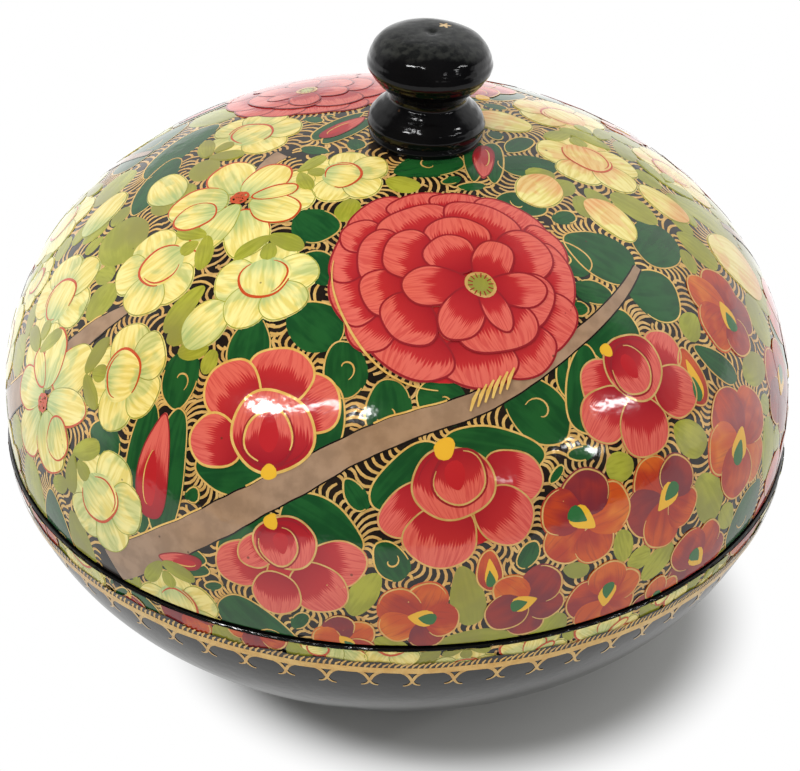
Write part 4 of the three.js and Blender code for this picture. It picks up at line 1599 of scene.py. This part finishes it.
for i in range(ARCHES):
    spot = border_spot(360 / ARCHES * i, BAND + LINE_WIDE - 0.2)
    half = rounded_profile(np.array(ARCH) * [arch_half, ARCH_DROP * dice.uniform(0.9, 1.06)])
    half[:, 0] *= dice.uniform(0.96, 1.04)
    arch = np.vstack([half[::-1] * [-1, 1], half[1:]])
    strokes(border, "gold", spot, arch, 0.66, 6 + 0.6 * (i % 2), 0.6, 0.5)
BORDER_NAMES = (
    "border_gold", "border_leaves", "border_roses", "border_narcissus", "border_primroses",
    "border_red_outlines", "border_eyes",
)
dry_all(border, BORDER_NAMES, "bowl", "painted_bowl")

# %% [markdown]
# ## Camera, floor and light
# The photograph looks down on the box from about 32 degrees. The box stands on white paper
# in a bright room: the wall behind and the ceiling are white, the side behind the camera is
# darker, and two windows there make the small hard highlights.

# %% Camera
CAMERA_DISTANCE = 450.7 * MM
CAMERA_RISE = math.radians(32.34)
CAMERA_ROLL = math.radians(1.19)
CAMERA_LENS = 112.9


def put(thing, axes, where):
    """Sets an object's three axes and its place."""
    placing = np.eye(4)
    placing[:3, :3] = np.column_stack(axes)
    placing[:3, 3] = where
    thing.matrix_world = Matrix(placing.tolist())


aim = np.array([0.5 * MM, 0.0, 50.9 * MM])
forward = np.array([0.0, math.cos(CAMERA_RISE), -math.sin(CAMERA_RISE)])
level = np.array([1.0, 0.0, 0.0])
over = np.cross(level, forward)
right = math.cos(CAMERA_ROLL) * level + math.sin(CAMERA_ROLL) * over
up = math.cos(CAMERA_ROLL) * over - math.sin(CAMERA_ROLL) * level
camera_data = bpy.data.cameras.new("camera")
camera_data.lens = CAMERA_LENS
camera_data.sensor_width = 36.0
camera_data.sensor_fit = "HORIZONTAL"
camera = new_object("camera", camera_data)
camera_place = aim - forward * CAMERA_DISTANCE
put(camera, [right, up, -forward], camera_place)
bpy.context.scene.camera = camera
print("camera at", np.round(camera_place / MM, 1), "mm")

# %% Floor
FLOOR_REACH = 3.0
floor_mesh = bpy.data.meshes.new("floor")
corners = [(x * FLOOR_REACH, y * FLOOR_REACH, 0) for x, y in ((-1, -1), (1, -1), (1, 1), (-1, 1))]
floor_mesh.from_pydata(corners, [], [(0, 1, 2, 3)])
floor = new_object("floor", floor_mesh)
floor_material = bpy.data.materials.new("white_paper")
floor_material.use_nodes = True
tree = floor_material.node_tree
shader = tree.nodes["Principled BSDF"]
shader.inputs["Base Color"].default_value = (0.62, 0.62, 0.60, 1)
shader.inputs["Roughness"].default_value = 0.6
shader.inputs["Specular IOR Level"].default_value = 0.2
distance = node(tree, "ShaderNodeVectorMath", operation="DISTANCE")
feed(tree, distance.inputs[0], own_place(tree))
distance.inputs[1].default_value = (0.012, 0.005, 0.0)
white = node(tree, "ShaderNodeEmission")
rays = node(tree, "ShaderNodeLightPath")
behind = smooth(tree, split(tree, own_place(tree))["Y"], 0.0, 0.12)
in_lacquer = plus(tree, times(tree, behind, 0.5), 0.5)
mirrored = times(tree, rays.outputs["Is Glossy Ray"], in_lacquer)
overcast = times(tree, times(tree, rays.outputs["Is Glossy Ray"], behind), 0.4)
feed(tree, white.inputs["Strength"], plus(tree, overcast, 1.0))
seen = larger(tree, rays.outputs["Is Camera Ray"], mirrored)
share = times(tree, smooth(tree, distance.outputs["Value"], 0.043, 0.059), seen)
blend = node(tree, "ShaderNodeMixShader")
for socket, value in zip(blend.inputs, (share, shader.outputs[0], white.outputs[0])):
    feed(tree, socket, value)
feed(tree, tree.nodes["Material Output"].inputs["Surface"], blend.outputs[0])
floor_mesh.materials.append(floor_material)

# %% Room and lamps
ROOM_LEVEL = 0.50
BOX_MIDDLE = 0.06
world = bpy.data.worlds.new("room")
bpy.context.scene.world = world
world.use_nodes = True
tree = world.node_tree
background = tree.nodes["Background"]
view = node(tree, "ShaderNodeTexCoord").outputs["Generated"]
axes = split(tree, view)
paper = smooth(tree, axes["Z"], 0.20, 0.06)
paper = times(tree, paper, smooth(tree, axes["Y"], -0.25, 0.05))
toward_window = node(tree, "ShaderNodeVectorMath", operation="DOT_PRODUCT")
feed(tree, toward_window.inputs[0], view)
toward_window.inputs[1].default_value = (0.64, 0.64, 0.43)
window = times(tree, smooth(tree, toward_window.outputs["Value"], 0.80, 0.97), 0.85)
wall = times(tree, smooth(tree, axes["Z"], 0.78, 0.50), smooth(tree, axes["Y"], -0.1, 0.3))
wall = larger(tree, times(tree, wall, 0.68), window)
mirrored = plus(tree, larger(tree, times(tree, paper, 1.25), wall), 0.08)
path_of_light = node(tree, "ShaderNodeLightPath")
strength = node(tree, "ShaderNodeMix")
feed(tree, strength.inputs[0], path_of_light.outputs["Is Glossy Ray"])
strength.inputs[2].default_value = ROOM_LEVEL
feed(tree, strength.inputs[3], mirrored)
strength = larger(tree, strength.outputs[0], path_of_light.outputs["Is Camera Ray"])
feed(tree, background.inputs["Strength"], strength)
background.inputs["Color"].default_value = (1, 1, 1, 1)


def far_away(around, rise, distance=1.5):
    """A place so many degrees round from the front and up from the floor."""
    a, e = math.radians(around), math.radians(rise)
    flat = distance * math.cos(e)
    return np.array([flat * math.sin(a), -flat * math.cos(a), BOX_MIDDLE + distance * math.sin(e)])


def lamp(name, left, right, tall, brightness, in_gloss=True):
    """A rectangular lamp between two places, which faces the box. Its power in watts is its
    brightness times its area times pi."""
    data = bpy.data.lights.new(name, "AREA")
    data.shape = "RECTANGLE"
    wide = float(np.linalg.norm(right - left))
    data.size, data.size_y = wide, tall
    data.energy = brightness * wide * tall * math.pi
    made = new_object(name, data)
    where = (left + right) / 2
    side = (right - left) / wide
    away = where - np.array([0, 0, BOX_MIDDLE])
    away = away - side * (away @ side)
    away = away / np.linalg.norm(away)
    put(made, [side, np.cross(away, side), away], where)
    made.visible_glossy = in_gloss


# Name, two ends in degrees round and up, height in metres, brightness
PANES = (
    ("window_left", (-54, 42.5), (-43, 48), 0.09, 45),
    ("window_left_blind", (-43, 48), (-26, 54), 0.035, 34),
    ("window_left_far", (-17, 52), (-9, 53), 0.06, 36),
    ("window_right", (66, 35), (77, 29), 0.05, 30),
    ("window_right_low", (55, 25), (59, 22), 0.05, 34),
    ("window_right_sill", (51, 29), (54, 29), 0.03, 26),
    ("window_right_edge", (30, 26), (34, 23), 0.025, 14),
)
for name, left, right, tall, brightness in PANES:
    lamp(name, far_away(*left), far_away(*right), tall, brightness)
lamp("daylight", far_away(-134, 50, 1.7), far_away(-90, 50, 1.7), 1.3, 3.25, False)
lamp("front_daylight", far_away(-30, 48, 1.8), far_away(50, 48, 1.8), 1.6, 0.95, False)

# %% The view transform, and the end
bpy.context.scene.view_settings.view_transform = "Standard"
